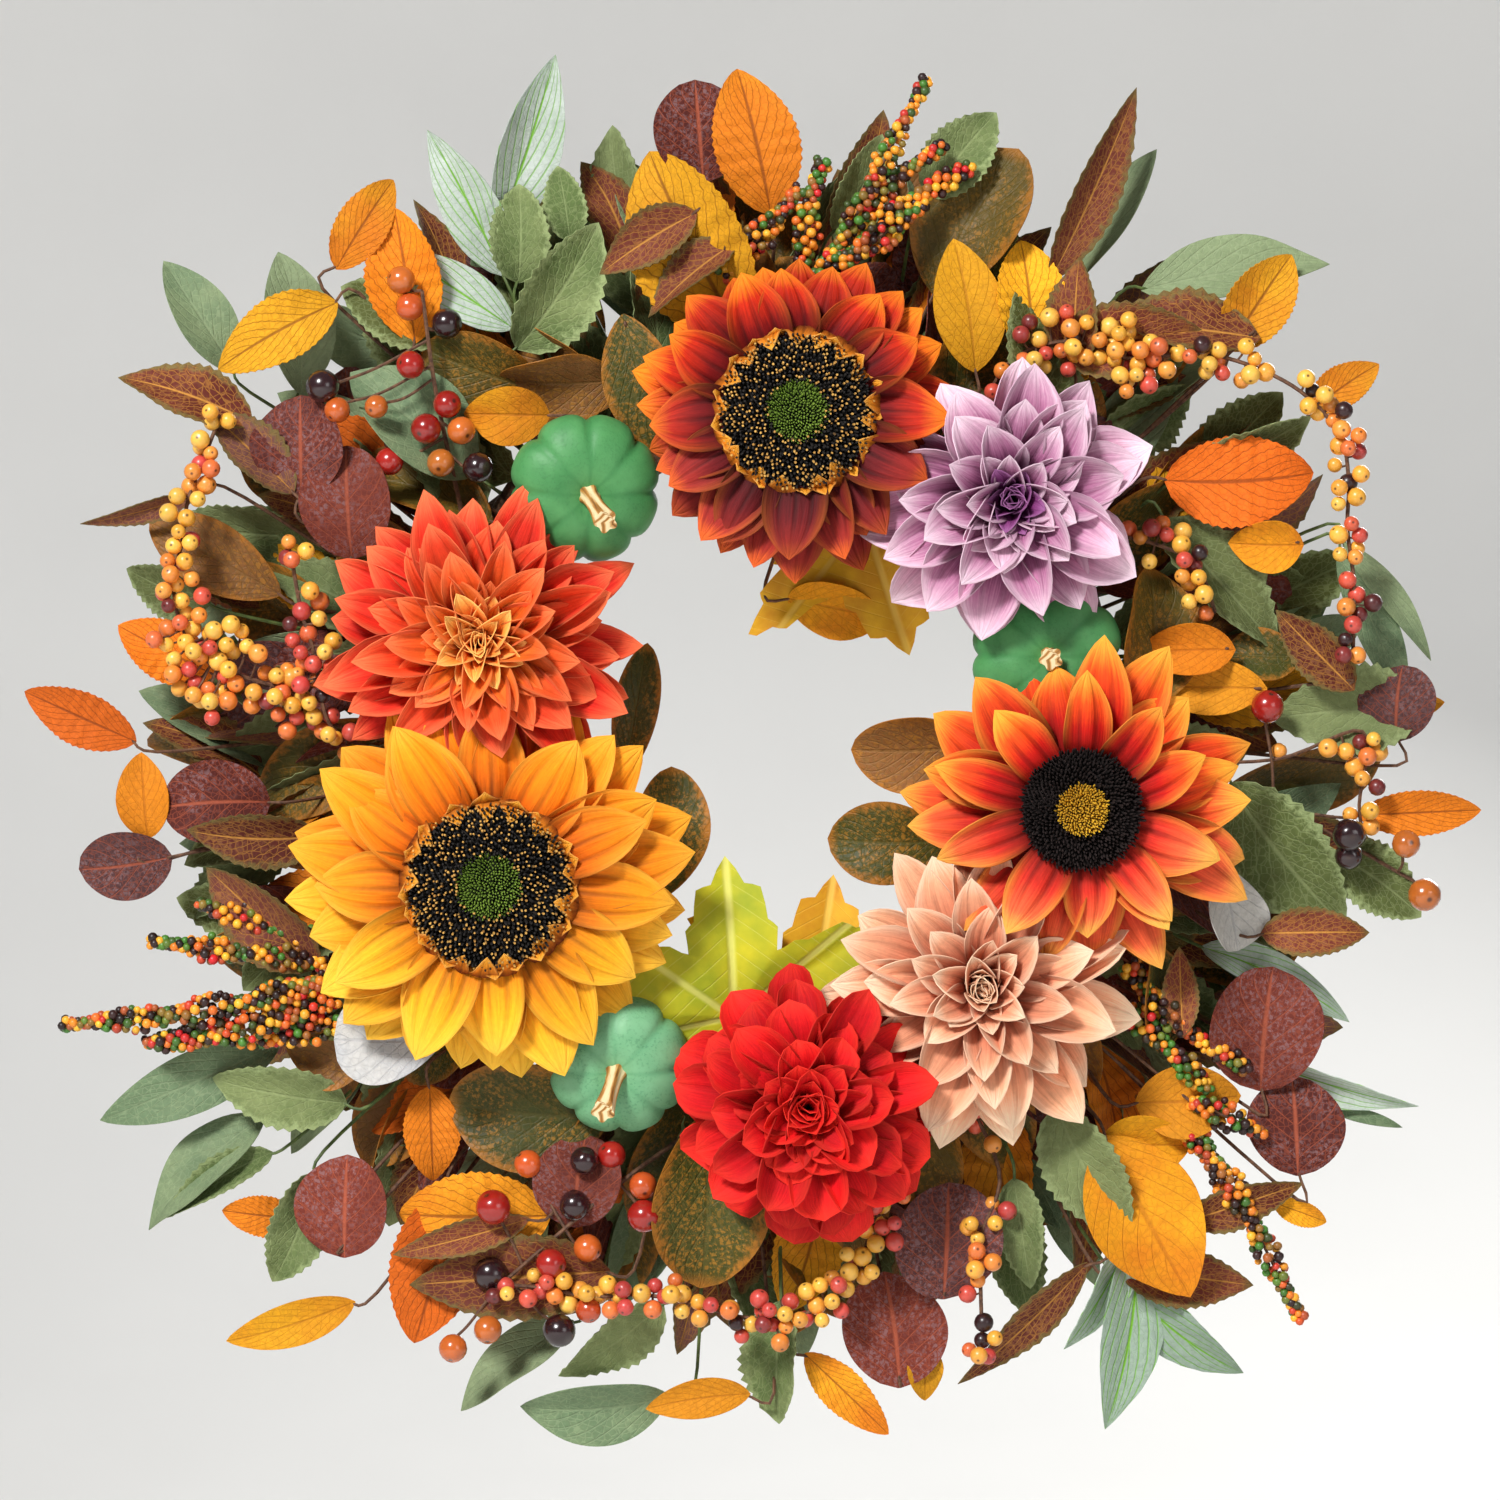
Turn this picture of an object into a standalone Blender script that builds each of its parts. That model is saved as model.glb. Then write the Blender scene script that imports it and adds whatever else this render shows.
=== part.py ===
"""A harvest door wreath: twisted vine ring, leaf sprays, silk flowers, pumpkins, berries and a hanging ring.

Metres, +Z up. The wreath hangs in the XZ plane and its front faces -Y. The origin is the point where a hook
holds the hanging ring: the top of the ring's inside.
"""

import math

import bmesh
import bpy
from mathutils import Vector

# Vine ring: strands laid around each other like a rope, bent into a hoop.
RING_RADIUS = 0.140
STRAND_COUNT = 4
STRAND_RADIUS = 0.0060
STRAND_LAY = 0.0125  # from the rope's middle to the middle of a strand
STRAND_TURNS = 3
STRAND_POINTS = 48

CLEARANCE = 0.0003  # between pieces that touch

# Hanger: a flat metal band around the rope, with a lug that holds the hanging ring.
BAND_THICKNESS = 0.0012
BAND_WIDTH = 0.014
BAND_CORNER = 0.006
BAND_BACK_Y = 0.0050
LUG_RADIUS = 0.0050
LUG_THICKNESS = 0.0024
LUG_PLAY = 0.00045  # between the lug's hole and the wire
HANG_RING_INNER = 0.0100
HANG_WIRE_RADIUS = 0.00125

# Leaf sprays: flat blades on a stem, stacked in layers that lean back towards their tips.
LEAF_THICKNESS = 0.0012
LEAF_LAYERS = 5
LEAF_LAYER_STEP = 0.0045
LEAF_FRONT_GAP = 0.0030  # from the rope's front to the rearmost layer
LEAF_LIFT_REACH = 0.026  # how far past its root a spray has risen to its layer
LEAF_LEAN = 0.010
LEAF_LEAN_REACH = 0.110
STEM_HALF_WIDTH = 0.0018
BLADE_LENGTH = 0.058
BLADE_WIDTH = 0.027
BLADE_FOOT = 0.0040  # the length of stem that a blade grows from
BLADE_TURN = 62  # degrees between the stem and its first blades, and how much less the next ones turn
BLADE_TURN_STEP = 12
BLADE_ROWS = (0.22, 0.45, 0.70, 0.88)
INNER_BLADE_LENGTH = 0.050
MAPLE_SIZE = 0.052
MAPLE_LOBES = ((150, 0.55), (128, 0.42), (95, 0.95), (68, 0.45), (42, 0.80), (22, 0.42))

# Flowers: petal plates stacked on a stem, each flower a little deeper than its neighbour.
PETAL_THICKNESS = 0.0012
PETAL_GAP = 0.0023  # from the fruit or the pumpkins, whichever stand further forward, to the rearmost petals
FLOWER_STEP = 0.0025
TIER_STEP = 0.0085
CALYX_RADIUS = 0.0090
CALYX_HEIGHT = 0.0100
FLOWER_STEM_RADIUS = 0.0016
HUB_RADIUS = 0.0070
PETAL_ROWS = ((0.55, 0.42), (0.86, 0.34))  # share of the petal's length, and how full its slice is there

# Pumpkins, berries and millet.
PUMPKIN_DEPTH = 0.0385
PUMPKIN_RIB = 0.09
PUMPKIN_DIMPLE = 0.006
PUMPKIN_DIMPLE_SHARE = 0.6
PUMPKIN_LOBES = 8
PUMPKIN_STEM_RADIUS = 0.0042
BERRY_RADIUS = 0.0060
SMALL_BERRY_RADIUS = 0.0036
MILLET_RADIUS = 0.0045
TWIG_RADIUS = 0.0009
TWIG_FOOT = 0.0030
TWIG_RISE = 0.0040
FRUIT_GAP = 0.0014  # between the front leaves, the large berries and the small ones
MILLET_GAP = 0.0064  # between the front leaves and the millet

BUNDLE_RADIUS = STRAND_LAY + STRAND_RADIUS
BUNDLE_Y = BAND_BACK_Y - BAND_THICKNESS - CLEARANCE - BUNDLE_RADIUS
BUNDLE_FRONT_Y = BUNDLE_Y - BUNDLE_RADIUS
LEAF_BACK_Y = BUNDLE_FRONT_Y - LEAF_FRONT_GAP
LEAF_FRONT_Y = LEAF_BACK_Y - LEAF_LAYER_STEP * (LEAF_LAYERS - 1)
LEAF_FACE_Y = LEAF_FRONT_Y - LEAF_THICKNESS / 2
BERRY_Y = LEAF_FACE_Y - FRUIT_GAP - BERRY_RADIUS
SMALL_BERRY_Y = BERRY_Y - BERRY_RADIUS - FRUIT_GAP - SMALL_BERRY_RADIUS
MILLET_Y = LEAF_FACE_Y - MILLET_GAP - MILLET_RADIUS
PUMPKIN_BACK_Y = BUNDLE_FRONT_Y - CLEARANCE
FRUIT_FACE_Y = min(SMALL_BERRY_Y - SMALL_BERRY_RADIUS, PUMPKIN_BACK_Y - PUMPKIN_DEPTH)
PETAL_Y = FRUIT_FACE_Y - PETAL_GAP - PETAL_THICKNESS / 2
EYE_Z = -2.0 * HANG_RING_INNER - HANG_WIRE_RADIUS
BAND_TOP_Z = EYE_Z - LUG_RADIUS
RING_Z = BAND_TOP_Z - BAND_THICKNESS - CLEARANCE - BUNDLE_RADIUS - RING_RADIUS

# Leaf sprays: name, clock angle in degrees from the top, stem length, blade pairs, colour.
SPRAYS = (
    ("leaf_spray_top_right", 21, 0.094, 2, (0.30, 0.36, 0.24)),
    ("leaf_spray_upper_right", 47, 0.110, 2, (0.33, 0.40, 0.33)),
    ("leaf_spray_right_high", 64, 0.096, 2, (0.70, 0.34, 0.08)),
    ("leaf_spray_right", 92, 0.088, 2, (0.36, 0.15, 0.13)),
    ("leaf_spray_lower_right", 113, 0.104, 2, (0.35, 0.43, 0.34)),
    ("leaf_spray_bottom_right", 148, 0.114, 2, (0.55, 0.64, 0.55)),
    ("leaf_spray_bottom", 169, 0.086, 2, (0.38, 0.13, 0.11)),
    ("leaf_spray_bottom_left", 202, 0.096, 2, (0.36, 0.44, 0.36)),
    ("leaf_spray_lower_left", 233, 0.116, 2, (0.28, 0.38, 0.26)),
    ("leaf_spray_left", 271, 0.094, 2, (0.80, 0.52, 0.10)),
    ("leaf_spray_left_high", 302, 0.106, 2, (0.36, 0.20, 0.16)),
    ("leaf_spray_upper_left", 337, 0.092, 2, (0.50, 0.60, 0.50)),
)
# Leaves that hang into the middle of the ring.
INNER_SPRAYS = (
    ("inner_leaves_right", 106, (0.38, 0.34, 0.12)),
    ("inner_leaves_left", 252, (0.36, 0.34, 0.16)),
)
MAPLE_CLOCK = 181

# Flowers: name, clock angle, distance outside the ring, petal length, petals, depth place, colour.
SUNFLOWERS = (
    ("rust_sunflower", 6, -0.003, 0.066, 14, 0, (0.55, 0.10, 0.03)),
    ("coral_sunflower", 102, -0.005, 0.072, 13, 2, (0.85, 0.24, 0.08)),
    ("yellow_sunflower", 242, -0.013, 0.081, 16, 1, (0.95, 0.55, 0.05)),
)
DAHLIAS = (
    ("purple_dahlia", 46, 0.003, 0.057, 12, 1, (0.42, 0.20, 0.42)),
    ("pink_dahlia", 138, -0.003, 0.063, 13, 0, (0.75, 0.40, 0.32)),
    ("red_mum", 173, 0.012, 0.054, 14, 1, (0.72, 0.06, 0.03)),
    ("orange_dahlia", 289, -0.017, 0.063, 14, 0, (0.90, 0.25, 0.08)),
)
SUNFLOWER_DISC_RADIUS = 0.0300
SUNFLOWER_DISC_HEIGHT = 0.0130
HEART_HEIGHT = 0.0220
INNER_PETAL_SHARE = 0.66
HEART_SHARE = 0.50

# Pumpkins: name, clock angle, distance outside the ring, radius, stem length, colour.
PUMPKINS = (
    ("pumpkin_left", 325, -0.011, 0.0325, 0.016, (0.07, 0.42, 0.22)),
    ("pumpkin_right", 73, -0.016, 0.0325, 0.005, (0.07, 0.40, 0.21)),
    ("pumpkin_bottom", 204, 0.007, 0.0305, 0.016, (0.15, 0.46, 0.33)),
)

# Berry sprigs and millet: name, clock of the root, colour, then where the fruit is: clock angle, distance
# outside the ring.
LARGE_BERRY_SPRIGS = (
    (
        "berry_sprig_top_left", 307, (0.55, 0.09, 0.04),
        ((311.5, 0.039), (316.5, 0.045), (314.5, 0.062), (317, 0.076), (320.5, 0.099), (323.5, 0.109)),
    ),
    (
        "berry_sprig_bottom", 188, (0.55, 0.09, 0.04),
        ((189, 0.052), (195, 0.053), (203, 0.050), (201, 0.070), (208, 0.070),
         (209, 0.089), (207, 0.111), (205.5, 0.132)),
    ),
)
SMALL_BERRY_VINES = (
    (
        "berry_vine_left", 270, (0.88, 0.55, 0.13),
        ((272, 0.046), (275.5, 0.061), (278, 0.076), (278.5, 0.092), (280, 0.107), (283, 0.115),
         (287, 0.113), (290.5, 0.115), (294, 0.119), (297.5, 0.122), (301, 0.125)),
    ),
    (
        "berry_vine_right", 34, (0.88, 0.50, 0.13),
        ((33, 0.054), (36, 0.065), (39.5, 0.073), (42, 0.087), (44.5, 0.100), (48, 0.108),
         (51.5, 0.116), (54.5, 0.125), (58, 0.131), (61.5, 0.133), (65.5, 0.128), (69.5, 0.120),
         (73.5, 0.115), (78, 0.114), (82.5, 0.108)),
    ),
    (
        "berry_vine_bottom", 160, (0.88, 0.52, 0.14),
        ((162.5, 0.053), (166, 0.066), (168.5, 0.080), (171.5, 0.094), (176, 0.100), (180, 0.101),
         (184, 0.098), (188.5, 0.095), (192.5, 0.097), (196.5, 0.101), (200.5, 0.106), (204, 0.108)),
    ),
)
MILLET_SPRAYS = (
    ("millet_spray_top", 20, (0.45, 0.28, 0.08), ((11.5, 0.060), (11.5, 0.090), (13, 0.119), (14, 0.142))),
    (
        "millet_spray_left", 257, (0.40, 0.30, 0.10),
        ((246, 0.055), (246.5, 0.094), (247.5, 0.133), (248, 0.168)),
    ),
    (
        "millet_spray_right", 119, (0.45, 0.20, 0.08),
        ((123.5, 0.062), (128, 0.101), (132.5, 0.142), (137, 0.184)),
    ),
)
MILLET_LUMPS = 6

for scene_object in list(bpy.data.objects):
    bpy.data.objects.remove(scene_object, do_unlink=True)


def material(name, colour, roughness=0.6, metallic=0.0):
    made = bpy.data.materials.new(name)
    made.use_nodes = True
    shader = made.node_tree.nodes["Principled BSDF"]
    shader.inputs["Base Color"].default_value = (*colour, 1.0)
    shader.inputs["Roughness"].default_value = roughness
    shader.inputs["Metallic"].default_value = metallic
    return made


def place(name, data, colour, roughness=0.6, metallic=0.0):
    """One named object in the scene, with its own material."""
    made = bpy.data.objects.new(name, data)
    data.materials.append(material(name, colour, roughness, metallic))
    bpy.context.scene.collection.objects.link(made)
    return made


def object_from(name, mesh, colour, roughness=0.6, metallic=0.0, smooth=True):
    """The bmesh as an object, its faces pointing outwards."""
    bmesh.ops.recalc_face_normals(mesh, faces=mesh.faces[:])
    data = bpy.data.meshes.new(name)
    mesh.to_mesh(data)
    mesh.free()
    if smooth:
        data.shade_smooth()
        data.set_sharp_from_angle(angle=math.radians(40))
    return place(name, data, colour, roughness, metallic)


def tube(name, points, radii, colour, cyclic=False, resolution=1, roughness=0.7, metallic=0.0):
    """A round tube along the points, as wide at each as its radius says."""
    curve = bpy.data.curves.new(name, "CURVE")
    curve.dimensions = "3D"
    curve.bevel_depth = 1.0
    curve.bevel_resolution = resolution
    curve.use_fill_caps = not cyclic
    spline = curve.splines.new("POLY")
    spline.points.add(len(points) - 1)
    spline.use_cyclic_u = cyclic
    for point, where, radius in zip(spline.points, points, radii):
        point.co = (*where, 1.0)
        point.radius = radius
    return place(name, curve, colour, roughness, metallic)


def on_ring(clock, reach, y):
    """The point at a clock angle in degrees and a distance from the ring's middle."""
    angle = math.radians(clock)
    return Vector((reach * math.sin(angle), y, RING_Z + reach * math.cos(angle)))


def lay_angle(clock, strand):
    """Where a strand stands around the rope at a clock angle: 0 outside, a quarter turn at the back."""
    return STRAND_TURNS * math.radians(clock) + strand * math.tau / STRAND_COUNT


def strand_middle(clock, strand):
    lay = lay_angle(clock, strand)
    return on_ring(clock, RING_RADIUS + STRAND_LAY * math.cos(lay), BUNDLE_Y + STRAND_LAY * math.sin(lay))


def nearest_strand(clock, lay):
    """The strand whose place around the rope is nearest to the lay angle."""
    return max(range(STRAND_COUNT), key=lambda strand: math.cos(lay_angle(clock, strand) - lay))


def rope_surface(clock, lay, gap=CLEARANCE):
    """The surface point, facing along the lay angle, of the strand nearest to it, moved out by the gap."""
    middle = strand_middle(clock, nearest_strand(clock, lay))
    outward = on_ring(clock, math.cos(lay), math.sin(lay)) - on_ring(clock, 0.0, 0.0)
    return middle + outward * (STRAND_RADIUS + gap)


def reach_of(point):
    return math.hypot(point.x, point.z - RING_Z)


def vine_strands():
    for strand in range(STRAND_COUNT):
        clocks = [360.0 * step / STRAND_POINTS for step in range(STRAND_POINTS)]
        points = [strand_middle(clock, strand) for clock in clocks]
        radii = [STRAND_RADIUS] * len(points)
        tube(f"vine_strand_{strand + 1}", points, radii, (0.12, 0.06, 0.035), cyclic=True, roughness=0.9)


def rounded_box(mesh, half_y, half_z, corner, x, y, z):
    """A closed loop of points in the YZ plane around (y, z), with round corners."""
    loop = []
    for turn in range(4):
        side_y = 1 if turn in (0, 3) else -1
        side_z = 1 if turn in (0, 1) else -1
        for step in range(4):
            angle = math.pi / 2 * (turn + step / 3)
            loop.append(mesh.verts.new((
                x,
                y + side_y * (half_y - corner) + corner * math.cos(angle),
                z + side_z * (half_z - corner) + corner * math.sin(angle),
            )))
    return loop


def bridge(mesh, first, second):
    for index, vertex in enumerate(first):
        after = (index + 1) % len(first)
        mesh.faces.new((vertex, first[after], second[after], second[index]))


def hanger_band():
    """A flat band around the rope, joined to the lug that holds the hanging ring."""
    inner = BUNDLE_RADIUS + CLEARANCE
    outer = inner + BAND_THICKNESS
    middle_z = RING_Z + RING_RADIUS
    mesh = bmesh.new()
    loops = [
        rounded_box(mesh, half, half, BAND_CORNER + half - inner, side * BAND_WIDTH / 2, BUNDLE_Y, middle_z)
        for side, half in ((-1, inner), (1, inner), (1, outer), (-1, outer))
    ]
    for index, loop in enumerate(loops):
        bridge(mesh, loop, loops[(index + 1) % len(loops)])
    band = object_from("hanger_band", mesh, (0.10, 0.09, 0.08), 0.4, 0.9)

    lug = bmesh.new()
    half = LUG_THICKNESS / 2
    hole = HANG_WIRE_RADIUS + LUG_PLAY
    foot_z = BAND_TOP_Z - BAND_THICKNESS / 2
    outline = []
    for step in range(13):
        angle = math.pi * step / 12
        outline.append((LUG_RADIUS * math.cos(angle), EYE_Z + LUG_RADIUS * math.sin(angle)))
    lower = [(-LUG_RADIUS, foot_z), (LUG_RADIUS - BAND_THICKNESS, foot_z)]
    rim = outline + lower
    rings = []
    for side in (-half, half):
        rings.append([lug.verts.new((side, y, z)) for y, z in rim])
    bridge(lug, rings[0], rings[1])
    holes = []
    for side in (-half, half):
        circle = []
        for step in range(len(rim)):
            angle = math.tau * step / len(rim)
            circle.append(lug.verts.new((side, hole * math.cos(angle), EYE_Z + hole * math.sin(angle))))
        holes.append(circle)
    bridge(lug, holes[0], holes[1])
    bridge(lug, rings[0], holes[0])
    bridge(lug, rings[1], holes[1])
    ear = object_from("hanger_lug_cutter", lug, (0.10, 0.09, 0.08))
    ear.hide_render = True
    ear.display_type = "WIRE"
    union = band.modifiers.new("lug", "BOOLEAN")
    union.operation = "UNION"
    union.solver = "EXACT"
    union.object = ear


def hanging_ring():
    """A round wire ring through the lug. Its origin is on the axis that it folds about."""
    radius = HANG_RING_INNER + HANG_WIRE_RADIUS
    points = []
    for step in range(28):
        angle = math.tau * step / 28
        points.append(Vector((radius * math.sin(angle), 0.0, radius - radius * math.cos(angle))))
    ring = tube("hanging_ring", points, [HANG_WIRE_RADIUS] * 28, (0.35, 0.33, 0.30), True, 2, 0.3, 1.0)
    ring.location = (0.0, 0.0, EYE_Z)


def plate(name, points, faces, thickness, colour):
    """A thin solid: the faces drawn between the points, given a thickness by Solidify."""
    mesh = bmesh.new()
    corners = [mesh.verts.new(point) for point in points]
    for face in faces:
        mesh.faces.new([corners[index] for index in face])
    made = object_from(name, mesh, colour, 0.75)
    solidify = made.modifiers.new("thickness", "SOLIDIFY")
    solidify.thickness = thickness
    solidify.offset = 0.0
    return made


def blade_width(share, width):
    """The full width of a leaf blade at a share of its length."""
    return width * math.sin(math.pi * share**0.8) ** 0.8


def add_blade(points, faces, left, right, direction, length, width):
    """A pointed blade grown from the edge between two points of the sheet."""
    base = (points[left] + points[right]) / 2
    across = Vector((-direction.y, direction.x))
    if (points[left] - points[right]).dot(across) < 0:
        across = -across
    row = (left, right)
    for share in BLADE_ROWS:
        half = blade_width(share, width) / 2
        middle = base + direction * length * share
        points.append(middle + across * half)
        points.append(middle - across * half)
        after = (len(points) - 2, len(points) - 1)
        faces.append((row[0], row[1], after[1], after[0]))
        row = after
    points.append(base + direction * length)
    faces.append((row[0], row[1], len(points) - 1))


def spray_sheet(stem_length, pairs, blade_length, width):
    """A flat spray, its stem along +X of its own sheet: points and faces."""
    points = []
    faces = []
    half = STEM_HALF_WIDTH
    stations = [0.0]
    first = min(LEAF_LIFT_REACH, stem_length / 2)
    for pair in range(pairs):
        at = first + (stem_length - first) * pair / pairs
        stations += [at, at + BLADE_FOOT]
    stations.append(stem_length)
    for at in stations:
        points.append(Vector((at, half)))
        points.append(Vector((at, -half)))
    for index in range(len(stations) - 1):
        faces.append((2 * index, 2 * index + 1, 2 * index + 3, 2 * index + 2))
    for pair in range(pairs):
        low = 2 * (1 + 2 * pair)
        turn = math.radians(BLADE_TURN - BLADE_TURN_STEP * pair)
        for side in (0, 1):
            direction = Vector((math.cos(turn), math.sin(turn) * (1 if side == 0 else -1)))
            add_blade(points, faces, low + side, low + 2 + side, direction, blade_length, width)
    last = 2 * (len(stations) - 1)
    add_blade(points, faces, last, last + 1, Vector((1.0, 0.0)), blade_length, width)
    return points, faces


def smooth_step(share):
    share = min(max(share, 0.0), 1.0)
    return share * share * (3.0 - 2.0 * share)


def spray_on_ring(name, clock, sheet, layer_y, colour, inward=False):
    """Bends a flat spray from its root on the rope's side out to its layer, leaning back at its tips."""
    root = rope_surface(clock, math.pi if inward else 0.0)
    angle = math.radians(clock)
    along = Vector((math.sin(angle), 0.0, math.cos(angle))) * (-1.0 if inward else 1.0)
    across = Vector((math.cos(angle), 0.0, -math.sin(angle)))
    points = []
    for flat in sheet[0]:
        point = root + along * flat.x + across * flat.y
        travelled = abs(reach_of(point) - reach_of(root))
        lifted = smooth_step(travelled / LEAF_LIFT_REACH)
        lean = LEAF_LEAN * (max(0.0, travelled - LEAF_LIFT_REACH) / LEAF_LEAN_REACH) ** 2
        point.y = root.y + (layer_y - root.y) * lifted + lean
        points.append(point)
    plate(name, points, sheet[1], LEAF_THICKNESS, colour)


def leaf_sprays():
    for index, (name, clock, stem, pairs, colour) in enumerate(SPRAYS):
        layer = index * 2 % LEAF_LAYERS
        sheet = spray_sheet(stem, pairs, BLADE_LENGTH, BLADE_WIDTH)
        spray_on_ring(name, clock, sheet, LEAF_BACK_Y - LEAF_LAYER_STEP * layer, colour)
    for name, clock, colour in INNER_SPRAYS:
        sheet = spray_sheet(LEAF_LIFT_REACH, 1, INNER_BLADE_LENGTH, BLADE_WIDTH)
        spray_on_ring(name, clock, sheet, BUNDLE_Y, colour, inward=True)


def maple_leaf():
    """A five-lobed leaf on a short stalk, its lobes drawn around one middle point."""
    stalk = LEAF_LIFT_REACH / 2
    middle = stalk + 0.42 * MAPLE_SIZE
    points = [Vector((0.0, STEM_HALF_WIDTH)), Vector((0.0, -STEM_HALF_WIDTH))]
    points += [Vector((stalk, STEM_HALF_WIDTH)), Vector((stalk, -STEM_HALF_WIDTH)), Vector((middle, 0.0))]
    faces = [(0, 1, 3, 2), (2, 3, 4)]
    upper = []
    lower = []
    for turn, share in MAPLE_LOBES:
        angle = math.radians(turn)
        along = middle + share * MAPLE_SIZE * math.cos(angle)
        aside = share * MAPLE_SIZE * math.sin(angle)
        points.append(Vector((along, aside)))
        points.append(Vector((along, -aside)))
        upper.append(len(points) - 2)
        lower.append(len(points) - 1)
    points.append(Vector((middle + MAPLE_SIZE, 0.0)))
    tip = len(points) - 1
    for row, root in ((upper, 2), (lower, 3)):
        chain = [root, *row, tip]
        for first, second in zip(chain, chain[1:]):
            faces.append((4, first, second))
    spray_on_ring("maple_leaf", MAPLE_CLOCK, (points, faces), BUNDLE_Y, (0.72, 0.66, 0.06), inward=True)


def petal_plate(name, centre, count, length, colour, turn=0.0, rise=0.0):
    """Petals around a hub. A rise lifts the middle towards the front, so that the plate is a low dome."""
    points = [Vector((0.0, 0.0))]
    faces = []
    hub = [index + 1 for index in range(count)]
    for index in range(count):
        angle = math.tau * (index / count) + turn
        points.append(Vector((HUB_RADIUS * math.cos(angle), HUB_RADIUS * math.sin(angle))))
    for index in range(count):
        after = (index + 1) % count
        faces.append((0, hub[index], hub[after]))
        angle = math.tau * ((index + 0.5) / count) + turn
        out = Vector((math.cos(angle), math.sin(angle)))
        across = Vector((-out.y, out.x))
        row = (hub[index], hub[after])
        for share, fill in PETAL_ROWS:
            reach = length * share
            half = fill * math.tau * reach / count
            points.append(out * reach - across * half)
            points.append(out * reach + across * half)
            pair = (len(points) - 2, len(points) - 1)
            faces.append((row[0], row[1], pair[1], pair[0]))
            row = pair
        points.append(out * length)
        faces.append((row[0], row[1], len(points) - 1))
    placed = []
    for point in points:
        lift = rise * max(0.0, 1.0 - (point.length / length) ** 2)
        placed.append(centre + Vector((point.x, -lift, point.y)))
    plate(name, placed, faces, PETAL_THICKNESS, colour)


def flower_stem(name, clock, centre):
    """A stem from the front of the rope to the flower, widening into the calyx behind its petals."""
    root = rope_surface(clock, -math.pi / 2)
    top = centre + Vector((0.0, PETAL_THICKNESS / 2 + CLEARANCE, 0.0))
    points = [root, root + Vector((0.0, -0.004, 0.0))]
    bend_to = top + Vector((0.0, CALYX_HEIGHT + 0.010, 0.0))
    points.append((points[1] + bend_to) / 2)
    points.append(bend_to)
    radii = [FLOWER_STEM_RADIUS] * 4
    for share, width in ((1.0, 0.30), (0.55, 0.70), (0.0, 1.0)):
        points.append(top + Vector((0.0, CALYX_HEIGHT * share, 0.0)))
        radii.append(CALYX_RADIUS * width)
    tube(name, points, radii, (0.20, 0.30, 0.12))


def turned(name, profile, centre, colour, steps=18, roughness=0.7):
    """A solid turned around the line through the centre along Y. Its profile is (radius, y) from end to end."""
    mesh = bmesh.new()
    chain = [mesh.verts.new((radius, y, 0.0)) for radius, y in profile]
    edges = [mesh.edges.new(pair) for pair in zip(chain, chain[1:])]
    bmesh.ops.spin(
        mesh, geom=chain + edges, cent=(0, 0, 0), axis=(0, 1, 0), angle=math.tau, steps=steps, use_merge=True
    )
    bmesh.ops.remove_doubles(mesh, verts=mesh.verts[:], dist=0.00001)
    bmesh.ops.translate(mesh, verts=mesh.verts[:], vec=centre)
    object_from(name, mesh, colour, roughness)


def dome(radius, height):
    """The profile of a flat-backed dome, from the middle of its back to the middle of its front."""
    profile = [(0.0, 0.0), (radius, 0.0)]
    for step in range(1, 5):
        angle = math.pi / 2 * step / 5
        profile.append((radius * math.cos(angle), -height * math.sin(angle)))
    profile.append((0.0, -height))
    return profile


def flower_centre(clock, outside, depth_place):
    return on_ring(clock, RING_RADIUS + outside, PETAL_Y - FLOWER_STEP * depth_place)


def sunflowers():
    for name, clock, outside, length, count, depth_place, colour in SUNFLOWERS:
        centre = flower_centre(clock, outside, depth_place)
        inner = centre + Vector((0.0, -TIER_STEP, 0.0))
        face = inner + Vector((0.0, -PETAL_THICKNESS / 2 - CLEARANCE, 0.0))
        flower_stem(f"{name}_stem", clock, centre)
        petal_plate(f"{name}_outer_petals", centre, count, length, colour)
        petal_plate(f"{name}_inner_petals", inner, count, length * INNER_PETAL_SHARE, colour, math.pi / count)
        disc = dome(SUNFLOWER_DISC_RADIUS, SUNFLOWER_DISC_HEIGHT)
        turned(f"{name}_disc", disc, face, (0.06, 0.04, 0.02), roughness=0.95)


def dahlias():
    for name, clock, outside, length, count, depth_place, colour in DAHLIAS:
        centre = flower_centre(clock, outside, depth_place)
        heart = centre + Vector((0.0, -TIER_STEP, 0.0))
        flower_stem(f"{name}_stem", clock, centre)
        petal_plate(f"{name}_outer_petals", centre, count, length, colour)
        heart_length = length * HEART_SHARE
        petal_plate(f"{name}_heart", heart, count, heart_length, colour, math.pi / count, HEART_HEIGHT)


def pumpkin_height(across, up):
    """How far the body's surface stands from its middle, at a share of its radius from the axis."""
    dimple = PUMPKIN_DIMPLE * max(0.0, 1.0 - across / PUMPKIN_DIMPLE_SHARE) ** 2
    return PUMPKIN_DEPTH / 2 * up - math.copysign(dimple, up)


def pumpkin_body(name, centre, radius, colour):
    """A squat lobed ball with a dimple at each end of its axis, which lies along Y."""
    mesh = bmesh.new()
    bmesh.ops.create_uvsphere(mesh, u_segments=PUMPKIN_LOBES * 2, v_segments=8, radius=1.0)
    for vertex in mesh.verts:
        around = math.atan2(vertex.co.y, vertex.co.x)
        rib = radius * (1.0 - PUMPKIN_RIB * (1.0 - abs(math.sin(around * PUMPKIN_LOBES / 2))))
        height = pumpkin_height(math.hypot(vertex.co.x, vertex.co.y), vertex.co.z)
        vertex.co = centre + Vector((rib * vertex.co.x, -height, rib * vertex.co.y))
    object_from(name, mesh, colour, 0.5)


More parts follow.
